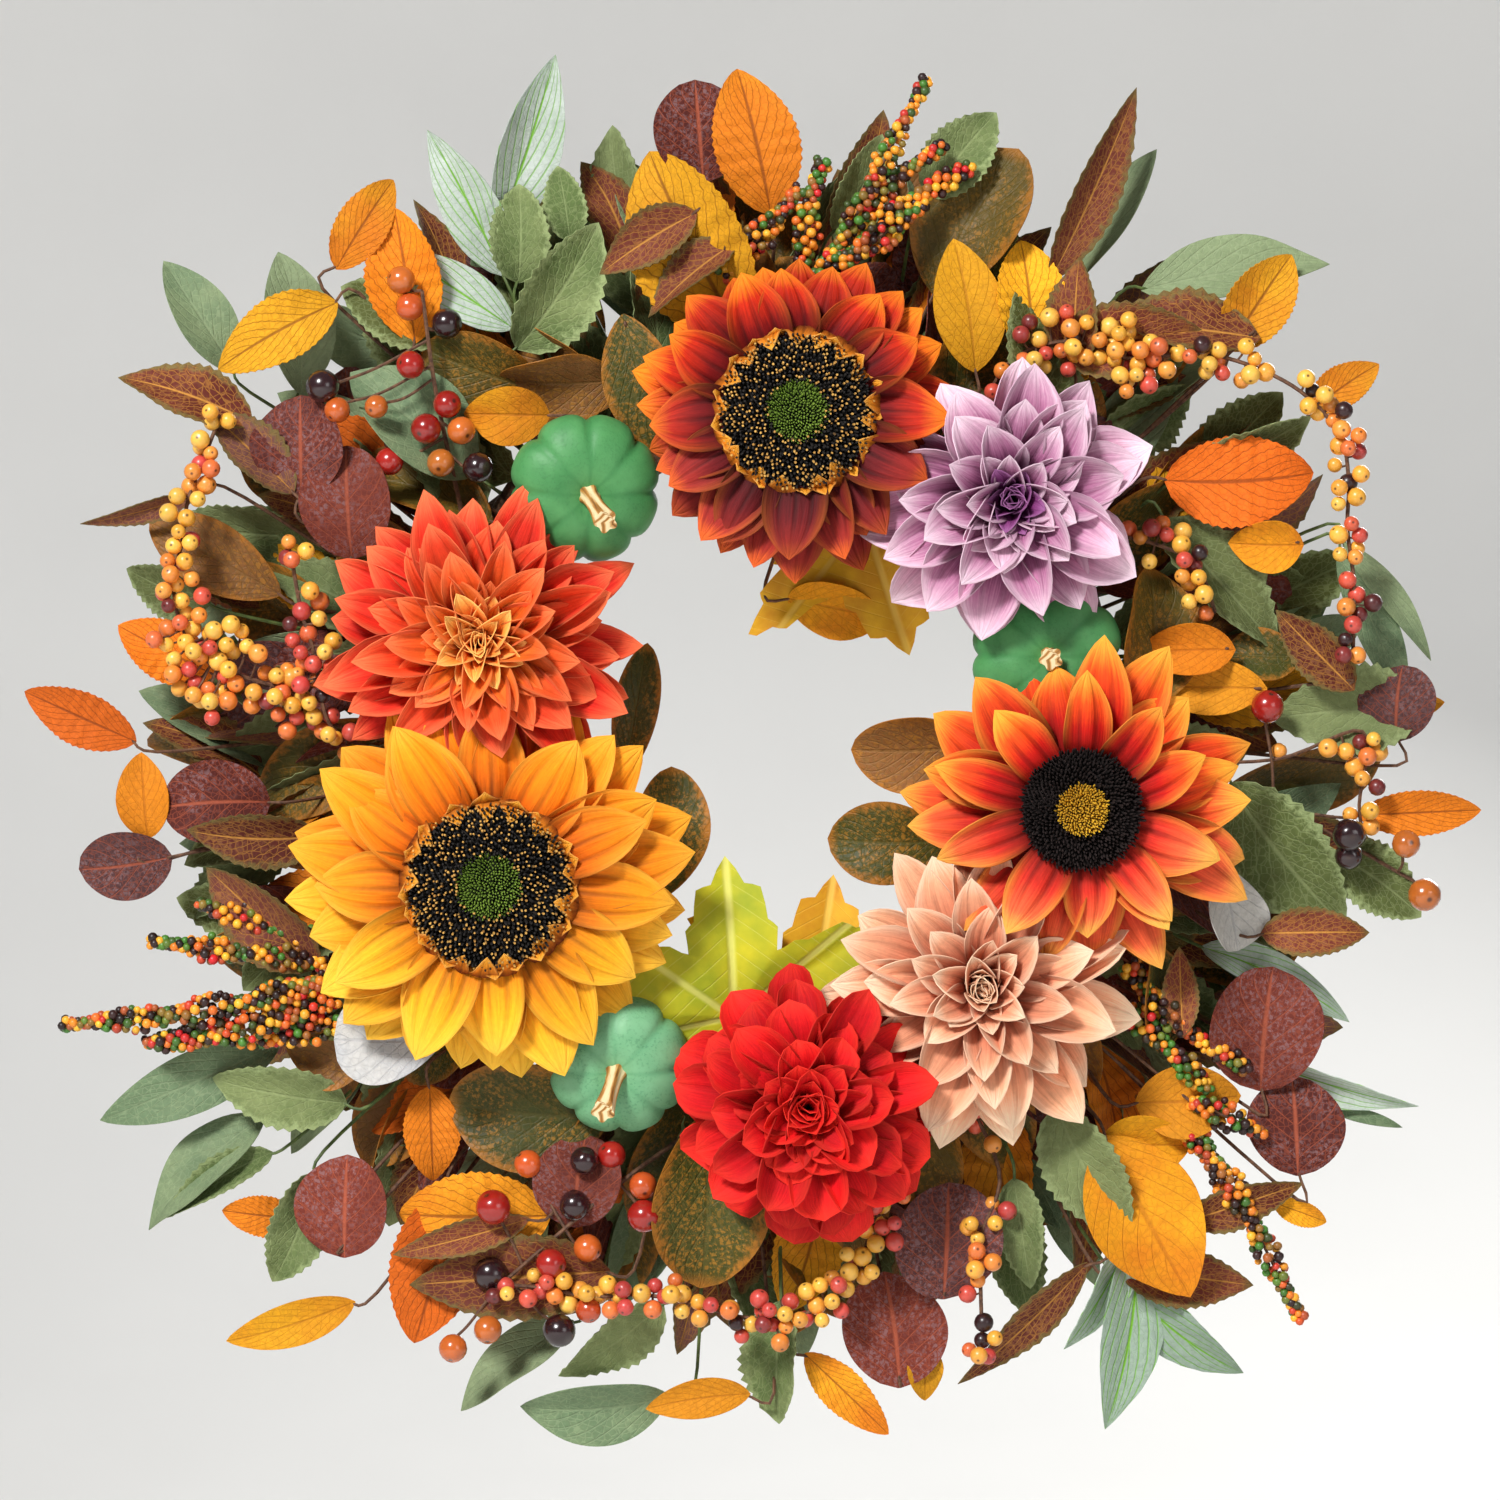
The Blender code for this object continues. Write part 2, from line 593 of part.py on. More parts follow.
def pumpkin_stem(name, centre, radius, length):
    """A curved stem whose foot follows the dimple that it stands in."""
    points = []
    for foot_radius in (PUMPKIN_STEM_RADIUS * 0.4, PUMPKIN_STEM_RADIUS):
        across = foot_radius / (radius * (1.0 - PUMPKIN_RIB)) + 0.02
        height = pumpkin_height(across, math.sqrt(1.0 - across**2)) + CLEARANCE
        points.append(centre + Vector((0.0, -height, 0.0)))
    for step in range(1, 4):
        share = step / 3
        sideways = 0.25 * length * share**2
        points.append(points[1] + Vector((sideways, -length * share, -2.0 * sideways)))
    radii = [PUMPKIN_STEM_RADIUS * share for share in (0.4, 1.0, 0.72, 0.62, 0.72)]
    tube(name, points, radii, (0.62, 0.45, 0.20), resolution=2)


def pumpkins():
    for name, clock, outside, radius, stem_length, colour in PUMPKINS:
        centre = on_ring(clock, RING_RADIUS + outside, PUMPKIN_BACK_Y - PUMPKIN_DEPTH / 2)
        pumpkin_body(f"{name}_body", centre, radius, colour)
        pumpkin_stem(f"{name}_stem", centre, radius, stem_length)


def fruit_route(clock, places, y):
    """The twig's way from the front of the rope up to the fruit's layer, and the fruit's places."""
    root = rope_surface(clock, -math.pi / 2)
    places = [on_ring(at, RING_RADIUS + outside, y) for at, outside in places]
    half_way = root.lerp(places[0], 0.5) + Vector((0.0, -TWIG_RISE, 0.0))
    return [root, root + Vector((0.0, -TWIG_FOOT, 0.0)), half_way], places


def fruit_string(name, clock, colour, places, radius, y):
    """A twig that carries round fruit along its length."""
    points, middles = fruit_route(clock, places, y)
    radii = [TWIG_RADIUS] * len(points)
    for index, middle in enumerate(middles):
        before = middles[index - 1] if index else points[-1]
        after = middles[min(index + 1, len(middles) - 1)]
        along = (after - before).normalized()
        for share, width in ((-0.96, 0.28), (-0.42, 0.92), (0.42, 0.92), (0.96, 0.28)):
            points.append(middle + along * radius * share)
            radii.append(max(radius * width, TWIG_RADIUS))
    tube(name, points, radii, colour, roughness=0.35)


def millet_spray(name, clock, colour, places, y):
    """A thick tapering head of seed along a curved twig."""
    points, ends = fruit_route(clock, places, y)
    radii = [TWIG_RADIUS] * len(points)
    lumps = MILLET_LUMPS * (len(ends) - 1)
    for lump in range(lumps + 1):
        at = lump / MILLET_LUMPS
        index = min(int(at), len(ends) - 2)
        points.append(ends[index].lerp(ends[index + 1], at - index))
        swell = 1.0 if lump % 2 else 0.65
        taper = 0.25 + 0.75 * math.sin(math.pi * (0.12 + 0.83 * lump / lumps))
        radii.append(MILLET_RADIUS * swell * taper)
    tube(name, points, radii, colour)


def fruit():
    for name, clock, colour, places in LARGE_BERRY_SPRIGS:
        fruit_string(name, clock, colour, places, BERRY_RADIUS, BERRY_Y)
    for name, clock, colour, places in SMALL_BERRY_VINES:
        fruit_string(name, clock, colour, places, SMALL_BERRY_RADIUS, SMALL_BERRY_Y)
    for name, clock, colour, places in MILLET_SPRAYS:
        millet_spray(name, clock, colour, places, MILLET_Y)


vine_strands()
hanger_band()
hanging_ring()
leaf_sprays()
maple_leaf()
sunflowers()
dahlias()
pumpkins()
fruit()
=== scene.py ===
# %% [markdown]
# # A harvest door wreath
# A door wreath is built from the back to the front. Grapevines are twisted into a ring, a metal band with a
# wire ring hangs it, cloth leaves on wired stems fan out from the vines, and flowers, little foam pumpkins,
# berries and seed heads are pushed in last. This lesson follows that order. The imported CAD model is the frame:
# every piece takes its place from it, in metres, with +Z up and the front of the wreath facing -Y.

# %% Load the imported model
import math
import random

import bmesh
import bpy
import numpy as np
from mathutils import Matrix, Vector, noise


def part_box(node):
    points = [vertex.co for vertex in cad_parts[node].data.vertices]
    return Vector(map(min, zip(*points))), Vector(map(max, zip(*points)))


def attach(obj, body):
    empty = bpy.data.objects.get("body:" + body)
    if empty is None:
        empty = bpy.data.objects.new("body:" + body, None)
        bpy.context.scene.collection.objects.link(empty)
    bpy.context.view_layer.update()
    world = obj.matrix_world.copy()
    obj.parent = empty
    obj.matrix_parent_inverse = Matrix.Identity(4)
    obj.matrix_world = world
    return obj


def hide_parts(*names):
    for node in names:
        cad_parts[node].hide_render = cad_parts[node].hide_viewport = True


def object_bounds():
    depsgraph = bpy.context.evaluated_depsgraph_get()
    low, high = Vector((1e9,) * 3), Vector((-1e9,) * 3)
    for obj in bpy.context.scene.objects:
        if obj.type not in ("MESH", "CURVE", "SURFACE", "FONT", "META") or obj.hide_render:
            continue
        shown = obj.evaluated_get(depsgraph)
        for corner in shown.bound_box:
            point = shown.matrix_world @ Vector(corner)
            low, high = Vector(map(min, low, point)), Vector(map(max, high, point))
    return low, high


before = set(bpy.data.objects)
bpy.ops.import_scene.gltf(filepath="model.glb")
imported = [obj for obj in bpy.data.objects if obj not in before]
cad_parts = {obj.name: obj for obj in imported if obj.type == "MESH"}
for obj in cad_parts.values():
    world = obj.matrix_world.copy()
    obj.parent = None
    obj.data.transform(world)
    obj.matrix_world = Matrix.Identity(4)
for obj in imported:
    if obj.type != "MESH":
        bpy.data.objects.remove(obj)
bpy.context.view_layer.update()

# %% [markdown]
# ## Finding places on the ring
# A wreath maker thinks of the ring as a clock face. So a place here is a clock angle in degrees from the top,
# a reach from the ring's middle and a height in front of the door, both in millimetres. The middle of the ring
# and the height of the flowers come from the boxes of the CAD pieces.

# %% Clock angle, reach and height
MM = 0.001
DRAW = random.Random(24)
STRANDS = [f"vine_strand_{number}" for number in range(1, 5)]
rope_low = Vector([min(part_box(name)[0][axis] for name in STRANDS) for axis in range(3)])
rope_high = Vector([max(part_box(name)[1][axis] for name in STRANDS) for axis in range(3)])
MIDDLE = (rope_low + rope_high) / 2
ROPE_RADIUS = (rope_high.y - rope_low.y) / 2 / MM
RING_RADIUS = (rope_high.x - rope_low.x) / 2 / MM - ROPE_RADIUS
ROPE_HEIGHT = -MIDDLE.y / MM
FRONT = Vector((0.0, -1.0, 0.0))


def on_ring(clock, reach, height):
    angle = math.radians(clock)
    return Vector((
        MIDDLE.x + reach * MM * math.sin(angle),
        -height * MM,
        MIDDLE.z + reach * MM * math.cos(angle),
    ))


def outward(clock):
    return Vector((math.sin(math.radians(clock)), 0.0, math.cos(math.radians(clock))))


def spread(amount):
    """A random number between minus and plus the amount."""
    return DRAW.uniform(-amount, amount)


def clock_of(point):
    return math.degrees(math.atan2(point.x - MIDDLE.x, point.z - MIDDLE.z)) % 360


def reach_of(point):
    return math.hypot(point.x - MIDDLE.x, point.z - MIDDLE.z) / MM


print(f"ring radius {RING_RADIUS:.0f} mm, rope radius {ROPE_RADIUS:.1f} mm")

# %% [markdown]
# ## Shader sums
# Colours on cloth petals and leaves come from sums: how far along the petal, how near its edge, how strong the
# vein. One small class wraps a node's output, so that such a sum is written as Python and its Math nodes are
# laid for us. Any other node comes from its `node` method.

# %% The wire class
class Wire:
    """One output of a material's nodes. Sums on it add Math nodes."""

    def __init__(self, tree, socket=None):
        self.tree = tree
        self.socket = socket

    def node(self, kind, settings=None, inputs=None, output=0):
        made = self.tree.nodes.new("ShaderNode" + kind)
        for name, value in (settings or {}).items():
            if name == "stops":
                lay_stops(made.color_ramp, value)
            else:
                setattr(made, name, value)
        for name, value in (inputs or {}).items():
            if isinstance(value, Wire):
                self.tree.links.new(value.socket, made.inputs[name])
            else:
                made.inputs[name].default_value = value
        return Wire(self.tree, made.outputs[output])

    def math(self, operation, *values, clamp=False):
        settings = {"operation": operation, "use_clamp": clamp}
        return self.node("Math", settings, dict(enumerate(values)))

    def __add__(self, other):
        return self.math("ADD", self, other)

    __radd__ = __add__

    def __sub__(self, other):
        return self.math("SUBTRACT", self, other)

    def __rsub__(self, other):
        return self.math("SUBTRACT", other, self)

    def __mul__(self, other):
        return self.math("MULTIPLY", self, other)

    __rmul__ = __mul__

    def size(self):
        return self.math("ABSOLUTE", self)

    def higher(self, other):
        return self.math("MAXIMUM", self, other)

    def zigzag(self):
        """Up from 0 to 0.5 and down again, once for every whole number."""
        return self.math("PINGPONG", self, 0.5)

    def clamped(self):
        return self.math("ADD", self, 0.0, clamp=True)

    def step(self, low, high):
        """0 below low and 1 above high, with a soft change between them."""
        settings = {"interpolation_type": "SMOOTHSTEP"}
        return self.node("MapRange", settings, {0: self, 1: low, 2: high, 3: 0.0, 4: 1.0})

    def ramp(self, *stops):
        return self.node("ValToRGB", {"stops": stops}, {0: self})

    def mix(self, first, second):
        """The first colour where this wire is 0, the second where it is 1."""
        first, second = (paint(*colour) if isinstance(colour, tuple) else colour for colour in (first, second))
        return self.node("Mix", {"data_type": "RGBA"}, {0: self, 6: first, 7: second}, 2)

    def shaded(self, shade):
        """This colour, made darker by a shade: 0 is black and 1 leaves it alone."""
        grey = shade.node("CombineColor", {}, {0: shade, 1: shade, 2: shade})
        settings = {"data_type": "RGBA", "blend_type": "MULTIPLY"}
        return self.node("Mix", settings, {0: 1.0, 6: self, 7: grey}, 2)

    def noise(self, scale, detail=3.0, roughness=0.55):
        inputs = {"Vector": self, "Scale": scale, "Detail": detail, "Roughness": roughness}
        return self.node("TexNoise", {}, inputs)

    def cells(self, scale):
        """How far from the nearest cell wall: 0 on the fine net between cells."""
        inputs = {"Vector": self, "Scale": scale}
        return self.node("TexVoronoi", {"feature": "DISTANCE_TO_EDGE"}, inputs)


def lay_stops(ramp, stops):
    while len(ramp.elements) < len(stops):
        ramp.elements.new(0.5)
    for element, (position, *colour) in zip(ramp.elements, stops):
        element.position = position
        element.color = paint(*colour)


def paint(red, green, blue):
    """A colour as it is listed, 0 to 255, made linear for the shader."""
    shares = [value / 255 for value in (red, green, blue)]
    linear = [share / 12.92 if share <= 0.04045 else ((share + 0.055) / 1.055) ** 2.4 for share in shares]
    return (*linear, 1.0)


print("orange paint:", [round(value, 3) for value in paint(235, 120, 40)])

# %% [markdown]
# ## Starting and closing a finish
# Every finish starts from the same readings: the object's place in metres, the piece's own UV map, and the
# `tone` attribute, three numbers that each petal, leaf or berry is given when it is put in place. `along` runs
# from a leaf's foot (0) to its tip (1), and `aside` from its midrib (0) to its edge (1).

# %% Reading and feeding a finish
class Finish:
    """A material in the making: its readings, and the shader that they feed."""

    def __init__(self, name, **constants):
        self.material = bpy.data.materials.new(name)
        self.material.use_nodes = True
        tree = self.material.node_tree
        self.shader = tree.nodes["Principled BSDF"]
        for socket, value in constants.items():
            self.shader.inputs[socket.replace("_", " ")].default_value = value
        start = Wire(tree)
        self.place = start.node("TexCoord", output=3)
        uv = start.node("TexCoord", output=2)
        self.across = start.node("SeparateXYZ", {}, {0: uv}, 0)
        self.along = start.node("SeparateXYZ", {}, {0: uv}, 1)
        self.aside = (self.across * 2.0 - 1.0).size()
        tone = start.node("Attribute", {"attribute_name": "tone"})
        self.chance = start.node("SeparateColor", {}, {0: tone}, 0)
        self.second = start.node("SeparateColor", {}, {0: tone}, 1)
        self.third = start.node("SeparateColor", {}, {0: tone}, 2)

    def feed(self, colour, height=None, strength=0.4, distance=0.0005, **more):
        links = self.material.node_tree.links
        links.new(colour.socket, self.shader.inputs["Base Color"])
        for socket, wire in more.items():
            links.new(wire.socket, self.shader.inputs[socket.replace("_", " ")])
        if height is not None:
            inputs = {"Strength": strength, "Distance": distance, "Height": height}
            bump = height.node("Bump", {}, inputs)
            links.new(bump.socket, self.shader.inputs["Normal"])
        self.clear_unused()
        return self.material

    def clear_unused(self):
        """Takes away the readings that nothing asks for, and then those that only they asked for."""
        nodes = self.material.node_tree.nodes
        while unused := [
            node for node in nodes
            if node.outputs and node != self.shader and not any(out.is_linked for out in node.outputs)
        ]:
            for node in unused:
                nodes.remove(node)

    def streaks(self, across, along):
        """Noise drawn out along a petal or a stalk, as fibres and printed streaks are."""
        place = self.across.node("CombineXYZ", {}, {
            0: self.across * across + self.chance * 50.0, 1: self.along * along, 2: self.chance * 9.0,
        })
        return place.noise(1.0, 3.0)


# %% [markdown]
# ## Shapes modelled once
# A wreath repeats itself: hundreds of petals, leaves and berries from a few moulds. So each shape is modelled
# once with the edit tools, like the cutting die of the real cloth leaf, and kept as a `Shape`. Copies are then
# bent, cupped and turned one by one, because no two cloth petals sit alike, and joined into one object a piece.

# %% Keep a modelled object as a shape
def deselect():
    if bpy.context.mode != "OBJECT":
        bpy.ops.object.mode_set(mode="OBJECT")
    bpy.ops.object.select_all(action="DESELECT")


def select_only(thing):
    deselect()
    bpy.context.view_layer.objects.active = thing
    thing.select_set(True)


def link(name, data):
    """A new object with this data, in the scene."""
    thing = bpy.data.objects.new(name, data)
    bpy.context.scene.collection.objects.link(thing)
    return thing


def pick(chosen):
    """In edit mode, selects the vertices whose place passes the test, and nothing else."""
    mesh = bmesh.from_edit_mesh(bpy.context.object.data)
    for vertex in mesh.verts:
        vertex.select = chosen(vertex.co)
    mesh.select_flush_mode()
    bmesh.update_edit_mesh(bpy.context.object.data)


class Shape:
    """A form modelled once: its points, its faces, and the UV of every face corner."""

    def __init__(self, thing):
        deselect()
        mesh = thing.data
        self.points = np.array([vertex.co for vertex in mesh.vertices])
        self.faces = [tuple(face.vertices) for face in mesh.polygons]
        self.uv = np.array([corner.uv for corner in mesh.uv_layers.active.data])
        bpy.data.objects.remove(thing)


# %% [markdown]
# ## The blade: one grid for every petal and leaf
# A petal or a leaf is a sheet with an outline. It starts as a grid, and each row of the grid is selected and
# scaled across to the width that the outline has there. The last row is merged to make the tip. Teeth are rows
# that are scaled a little more or less than their neighbours.

# %% Model a blade
NARROWEST = 0.03  # no row of a blade is narrower than this share of its full width


def model_blade(width_at, columns, rows, relief):
    deselect()
    bpy.ops.mesh.primitive_grid_add(x_subdivisions=columns, y_subdivisions=rows, size=1.0)
    blade = bpy.context.object
    bpy.ops.object.mode_set(mode="EDIT")
    bpy.ops.transform.translate(value=(0.0, 0.5, 0.0))
    for row in range(rows + 1):
        at = row / rows
        pick(lambda co: abs(co.y - at) < 0.2 / rows)
        width = max(width_at(at), NARROWEST)
        bpy.ops.transform.resize(value=(width, 1.0, 1.0), center_override=(0.0, at, 0.0))
    pick(lambda co: co.y > 1.0 - 0.2 / rows)
    bpy.ops.mesh.merge(type="CENTER")
    shape = Shape(blade)
    for point in shape.points:
        point[2] += relief(point[0], point[1])
    return shape


def rounded(fullest, point):
    """An outline that is widest at a share of its length. A low point is blunt, a high one is drawn out."""
    bend = math.log(0.5) / math.log(fullest)

    def width_at(at):
        body = math.sin(math.pi * min(at, 1.0) ** bend) ** point
        return max(body, 0.0) if at < fullest else body

    return width_at


def toothed(outline, rows, depth):
    """The same outline with every second row drawn in, which makes teeth."""
    def width_at(at):
        tooth = round(at * rows) % 2
        return outline(at) * (1.0 - depth * tooth)

    return width_at


# %% [markdown]
# ## Bending a copy
# `grow` gives a flat shape its real size and bends it: the start and end are its angles from flat, in degrees,
# at its foot and at its tip. Cup lifts its edges, wave ripples them, twist turns it along its length and sway
# swings its tip sideways. `set_down` then puts its foot at a point, its length along one direction and its
# face to another.

# %% Grow and set down
STRAIGHT = 1e-4  # a smaller bend than this, in radians, counts as none


def grow(shape, length, width, start=0.0, end=0.0, cup=0.0, twist=0.0, sway=0.0, wave=0.0):
    across, along, lift = shape.points.T
    phase = spread(math.pi)
    first = math.radians(start)
    turn = math.radians(end) - first
    if abs(turn) < STRAIGHT:
        turn = STRAIGHT
    angle = first + turn * along
    run = length * (np.sin(angle) - math.sin(first)) / turn
    rise = length * (math.cos(first) - np.cos(angle)) / turn
    side = across * width
    ripple = wave * np.sin(7.0 * along + 4.0 * across + phase)
    up = lift * width + (cup + ripple) * width * (2.0 * across) ** 2
    roll = math.radians(twist) * along
    turned = side * np.cos(roll) - up * np.sin(roll)
    up = side * np.sin(roll) + up * np.cos(roll)
    turned = turned + sway * length * along**2
    return np.column_stack((turned, run - up * np.sin(angle), rise + up * np.cos(angle)))


def set_down(points, foot, along, facing):
    along = along.normalized()
    across = along.cross(facing).normalized()
    facing = across.cross(along)
    axes = np.array((across, along, facing))
    return points @ axes + np.array(foot)


def stand_up(points, foot, axis, reference):
    """Turns upright points so that they stand on the foot along the axis."""
    side = axis.cross(reference).normalized()
    return points @ np.array((side, axis.cross(side), axis)) + np.array(foot)


def turn_about(vector, axis, degrees):
    return Matrix.Rotation(math.radians(degrees), 3, axis) @ vector


# %% [markdown]
# ## Joining copies into a piece
# `gather` makes one object from the placed copies, writes their UV maps and tones, gives it its finish and sheets
# the thickness of starched cloth, and hands the piece to the frame: what it rides on and what it replaces.

# %% Gather copies
made_faces = {}


def hand_over(thing, replaces=(), body="wreath"):
    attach(thing, body)
    if replaces:
        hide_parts(*replaces)
    made_faces[thing.name] = len(thing.data.polygons)
    return thing


def apply_modifier(thing, kind, **settings):
    modifier = thing.modifiers.new(kind.title(), kind)
    for name, value in settings.items():
        setattr(modifier, name, value)
    select_only(thing)
    bpy.ops.object.modifier_apply(modifier=modifier.name)


def smooth(thing, degrees=50):
    select_only(thing)
    bpy.ops.object.shade_smooth_by_angle(angle=math.radians(degrees))
    deselect()


def gather(name, copies, material, replaces=(), thickness=0.0):
    """Copies are (shape, placed points, tone) rows. The thickness is in millimetres."""
    faces = []
    count = 0
    for shape, placed, tone in copies:
        faces.extend(tuple(index + count for index in face) for face in shape.faces)
        count += len(placed)
    mesh = bpy.data.meshes.new(name)
    mesh.from_pydata(np.concatenate([copy[1] for copy in copies]).tolist(), [], faces)
    layer = mesh.uv_layers.new(name="UVMap")
    layer.data.foreach_set("uv", np.concatenate([copy[0].uv for copy in copies]).ravel())
    tones = [np.tile((*copy[2], 1.0), (len(copy[1]), 1)) for copy in copies]
    attribute = mesh.attributes.new("tone", "FLOAT_COLOR", "POINT")
    attribute.data.foreach_set("color", np.concatenate(tones).ravel())
    thing = link(name, mesh)
    mesh.materials.append(material)
    if thickness:
        apply_modifier(thing, "SOLIDIFY", thickness=thickness * MM, offset=0.0)
    smooth(thing)
    return hand_over(thing, replaces)


# %% [markdown]
# ## Stems and twigs
# Wired stems are drawn as curves with a round bevel and then made a mesh. One object holds all the twigs of a
# kind, because they share one finish and move together.

# %% Twigs from routes
def smooth_route(points, steps=5):
    """More points along the route, on a curve that passes through all of its own points."""
    points = [Vector(point) for point in points]
    ends = [points[0] * 2 - points[1], *points, points[-1] * 2 - points[-2]]
    route = []
    for index in range(1, len(ends) - 2):
        before, start, end, after = ends[index - 1:index + 3]
        for step in range(steps):
            share = step / steps
            route.append(0.5 * (
                2 * start + (end - before) * share
                + (2 * before - 5 * start + 4 * end - after) * share**2
                + (3 * start - before - 3 * end + after) * share**3
            ))
    route.append(points[-1])
    return route


def twigs(name, routes, material, replaces=(), roundness=1, closed=False):
    """Routes are (points, radii in mm) rows."""
    curve = bpy.data.curves.new(name, "CURVE")
    curve.dimensions = "3D"
    curve.bevel_depth = MM
    curve.bevel_resolution = roundness
    curve.use_fill_caps = not closed
    for points, radii in routes:
        spline = curve.splines.new("POLY")
        spline.points.add(len(points) - 1)
        spline.use_cyclic_u = closed
        for knot, point, radius in zip(spline.points, points, radii):
            knot.co = (*point, 1.0)
            knot.radius = radius
    thing = link(name, curve)
    select_only(thing)
    bpy.ops.object.convert(target="MESH")
    thing = bpy.context.object
    thing.data.materials.clear()
    thing.data.materials.append(material)
    smooth(thing)
    return hand_over(thing, replaces)

# %% [markdown]
# ## The vine ring
# Grapevine is dry, ridged and never round. Four thick vines lie around each other as the CAD strands do, and
# thinner ones wind over them at other pitches. Each is a curve whose radius wanders, and the bark's long ridges
# and cracks are in its finish. The strands of the frame are replaced by these vines one for one.

# %% Bark finish
def bark():
    finish = Finish("grapevine_bark", Roughness=0.9)
    fine = finish.place.noise(900.0, 4.0)
    broad = finish.place.noise(90.0, 3.0)
    colour = (fine * 0.6 + broad * 0.5).ramp(
        (0.30, 38, 24, 18), (0.55, 92, 62, 44), (0.78, 150, 116, 84),
    )
    return finish.feed(colour, fine, 0.6, 0.0012)


BARK = bark()

# %% Wind the vines
LAY_TURNS = 3
VINE_SHARE = 0.0060 / 0.0185  # a strand's radius as a share of the rope's
vine_radius = ROPE_RADIUS * VINE_SHARE
vine_lay = ROPE_RADIUS - vine_radius


VINE_STEPS = 220
KNOT = 0.10  # how much a vine's radius wanders
SEAM_STEPS = 12  # the knots fade towards the seam, so that a vine's two ends meet


def vine(turns, lay, radius, phase, seed):
    """A vine's route: its turns around the rope, its lay from the rope's middle, and where it starts."""
    points = []
    radii = []
    for step in range(VINE_STEPS):
        clock = 360.0 * step / VINE_STEPS
        around = turns * math.radians(clock) + phase
        points.append(on_ring(clock, RING_RADIUS + lay * math.cos(around), ROPE_HEIGHT - lay * math.sin(around)))
        seam = min(step, VINE_STEPS - step) / SEAM_STEPS
        knot = 1.0 + KNOT * noise.noise(Vector((step * 0.5, seed, 4.0))) * min(seam, 1.0)
        radii.append(radius * knot)
    return points, radii


for number in range(4):
    route = vine(LAY_TURNS, vine_lay, vine_radius, number * math.tau / 4, number)
    twigs(f"vine_{number + 1}", [route], BARK, (STRANDS[number],), roundness=3, closed=True)
THIN_VINES = ((5, 2.2, 0.4), (-4, 1.9, 2.0), (7, 1.6, 3.4), (-6, 1.7, 5.0))  # turns, radius in mm, start
thin_vines = [
    vine(turns, vine_lay - 1.0, radius, phase, 9 + index)
    for index, (turns, radius, phase) in enumerate(THIN_VINES)
]
twigs("thin_vines", thin_vines, BARK, roundness=2, closed=True)
print("vines:", made_faces)

# %% [markdown]
# ## Band, ring and stems
# The metal band and the flower stems have the right shape in the frame already, so they keep their meshes and
# get their finish. The hanging ring is drawn again, rounder, and moves with the body `ring`.

# %% Metal and stem finishes
def grained(name, scale, stops, strength, **constants):
    """A plain finish whose fine grain runs through the colours of the stops."""
    finish = Finish(name, **constants)
    grain = finish.place.noise(scale)
    return finish.feed(grain.ramp(*stops), grain, strength)


STEM = grained("moulded_stem", 350.0, ((0.35, 62, 82, 38), (0.7, 104, 122, 62)), 0.4, Roughness=0.6)
TWIG = grained("dry_twig", 500.0, ((0.3, 62, 38, 26), (0.7, 122, 84, 58)), 0.5, Roughness=0.75)
BAND_PAINT = grained(
    "band_paint", 700.0, ((0.3, 48, 40, 34), (0.7, 74, 62, 52)), 0.2, Roughness=0.45, Metallic=0.6
)
STEEL = grained(
    "ring_wire", 1500.0, ((0.3, 150, 146, 140), (0.7, 196, 192, 184)), 0.1, Roughness=0.32, Metallic=1.0
)


def refinish(node, material):
    """Gives a piece of the frame, which keeps its own mesh, its finish."""
    node.data.materials.clear()
    node.data.materials.append(material)


FLOWERS = ("rust_sunflower", "coral_sunflower", "yellow_sunflower", "purple_dahlia", "pink_dahlia",
           "red_mum", "orange_dahlia")
for name in FLOWERS:
    refinish(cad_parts[f"{name}_stem"], STEM)
refinish(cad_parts["hanger_band"], BAND_PAINT)
ring_low, ring_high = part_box("hanging_ring")
wire = (ring_high.y - ring_low.y) / 2
deselect()
bpy.ops.mesh.primitive_torus_add(
    location=(ring_low + ring_high) / 2, rotation=(math.pi / 2, 0.0, 0.0),
    major_radius=(ring_high.x - ring_low.x) / 2 - wire, minor_radius=wire, major_segments=64, minor_segments=16,
)
hanging_wire = bpy.context.object
hanging_wire.name = "hanging_wire_ring"
bpy.ops.object.transform_apply(location=True, rotation=True, scale=True)
hanging_wire.data.materials.append(STEEL)
smooth(hanging_wire)
hand_over(hanging_wire, ("hanging_ring",), body="ring")
print("hanging ring:", [round(side * 1000, 1) for side in ring_high - ring_low], "mm")

# %% [markdown]
# ## Leaf cloth
# The leaves are cut from printed cloth with pressed veins. One recipe serves all kinds: two body colours in
# soft patches, side veins that run slanting from the midrib to the edge, a rim colour and a fine mottle. Side
# veins are a zigzag of `along` minus a share of `aside`, narrowed to a thin line.

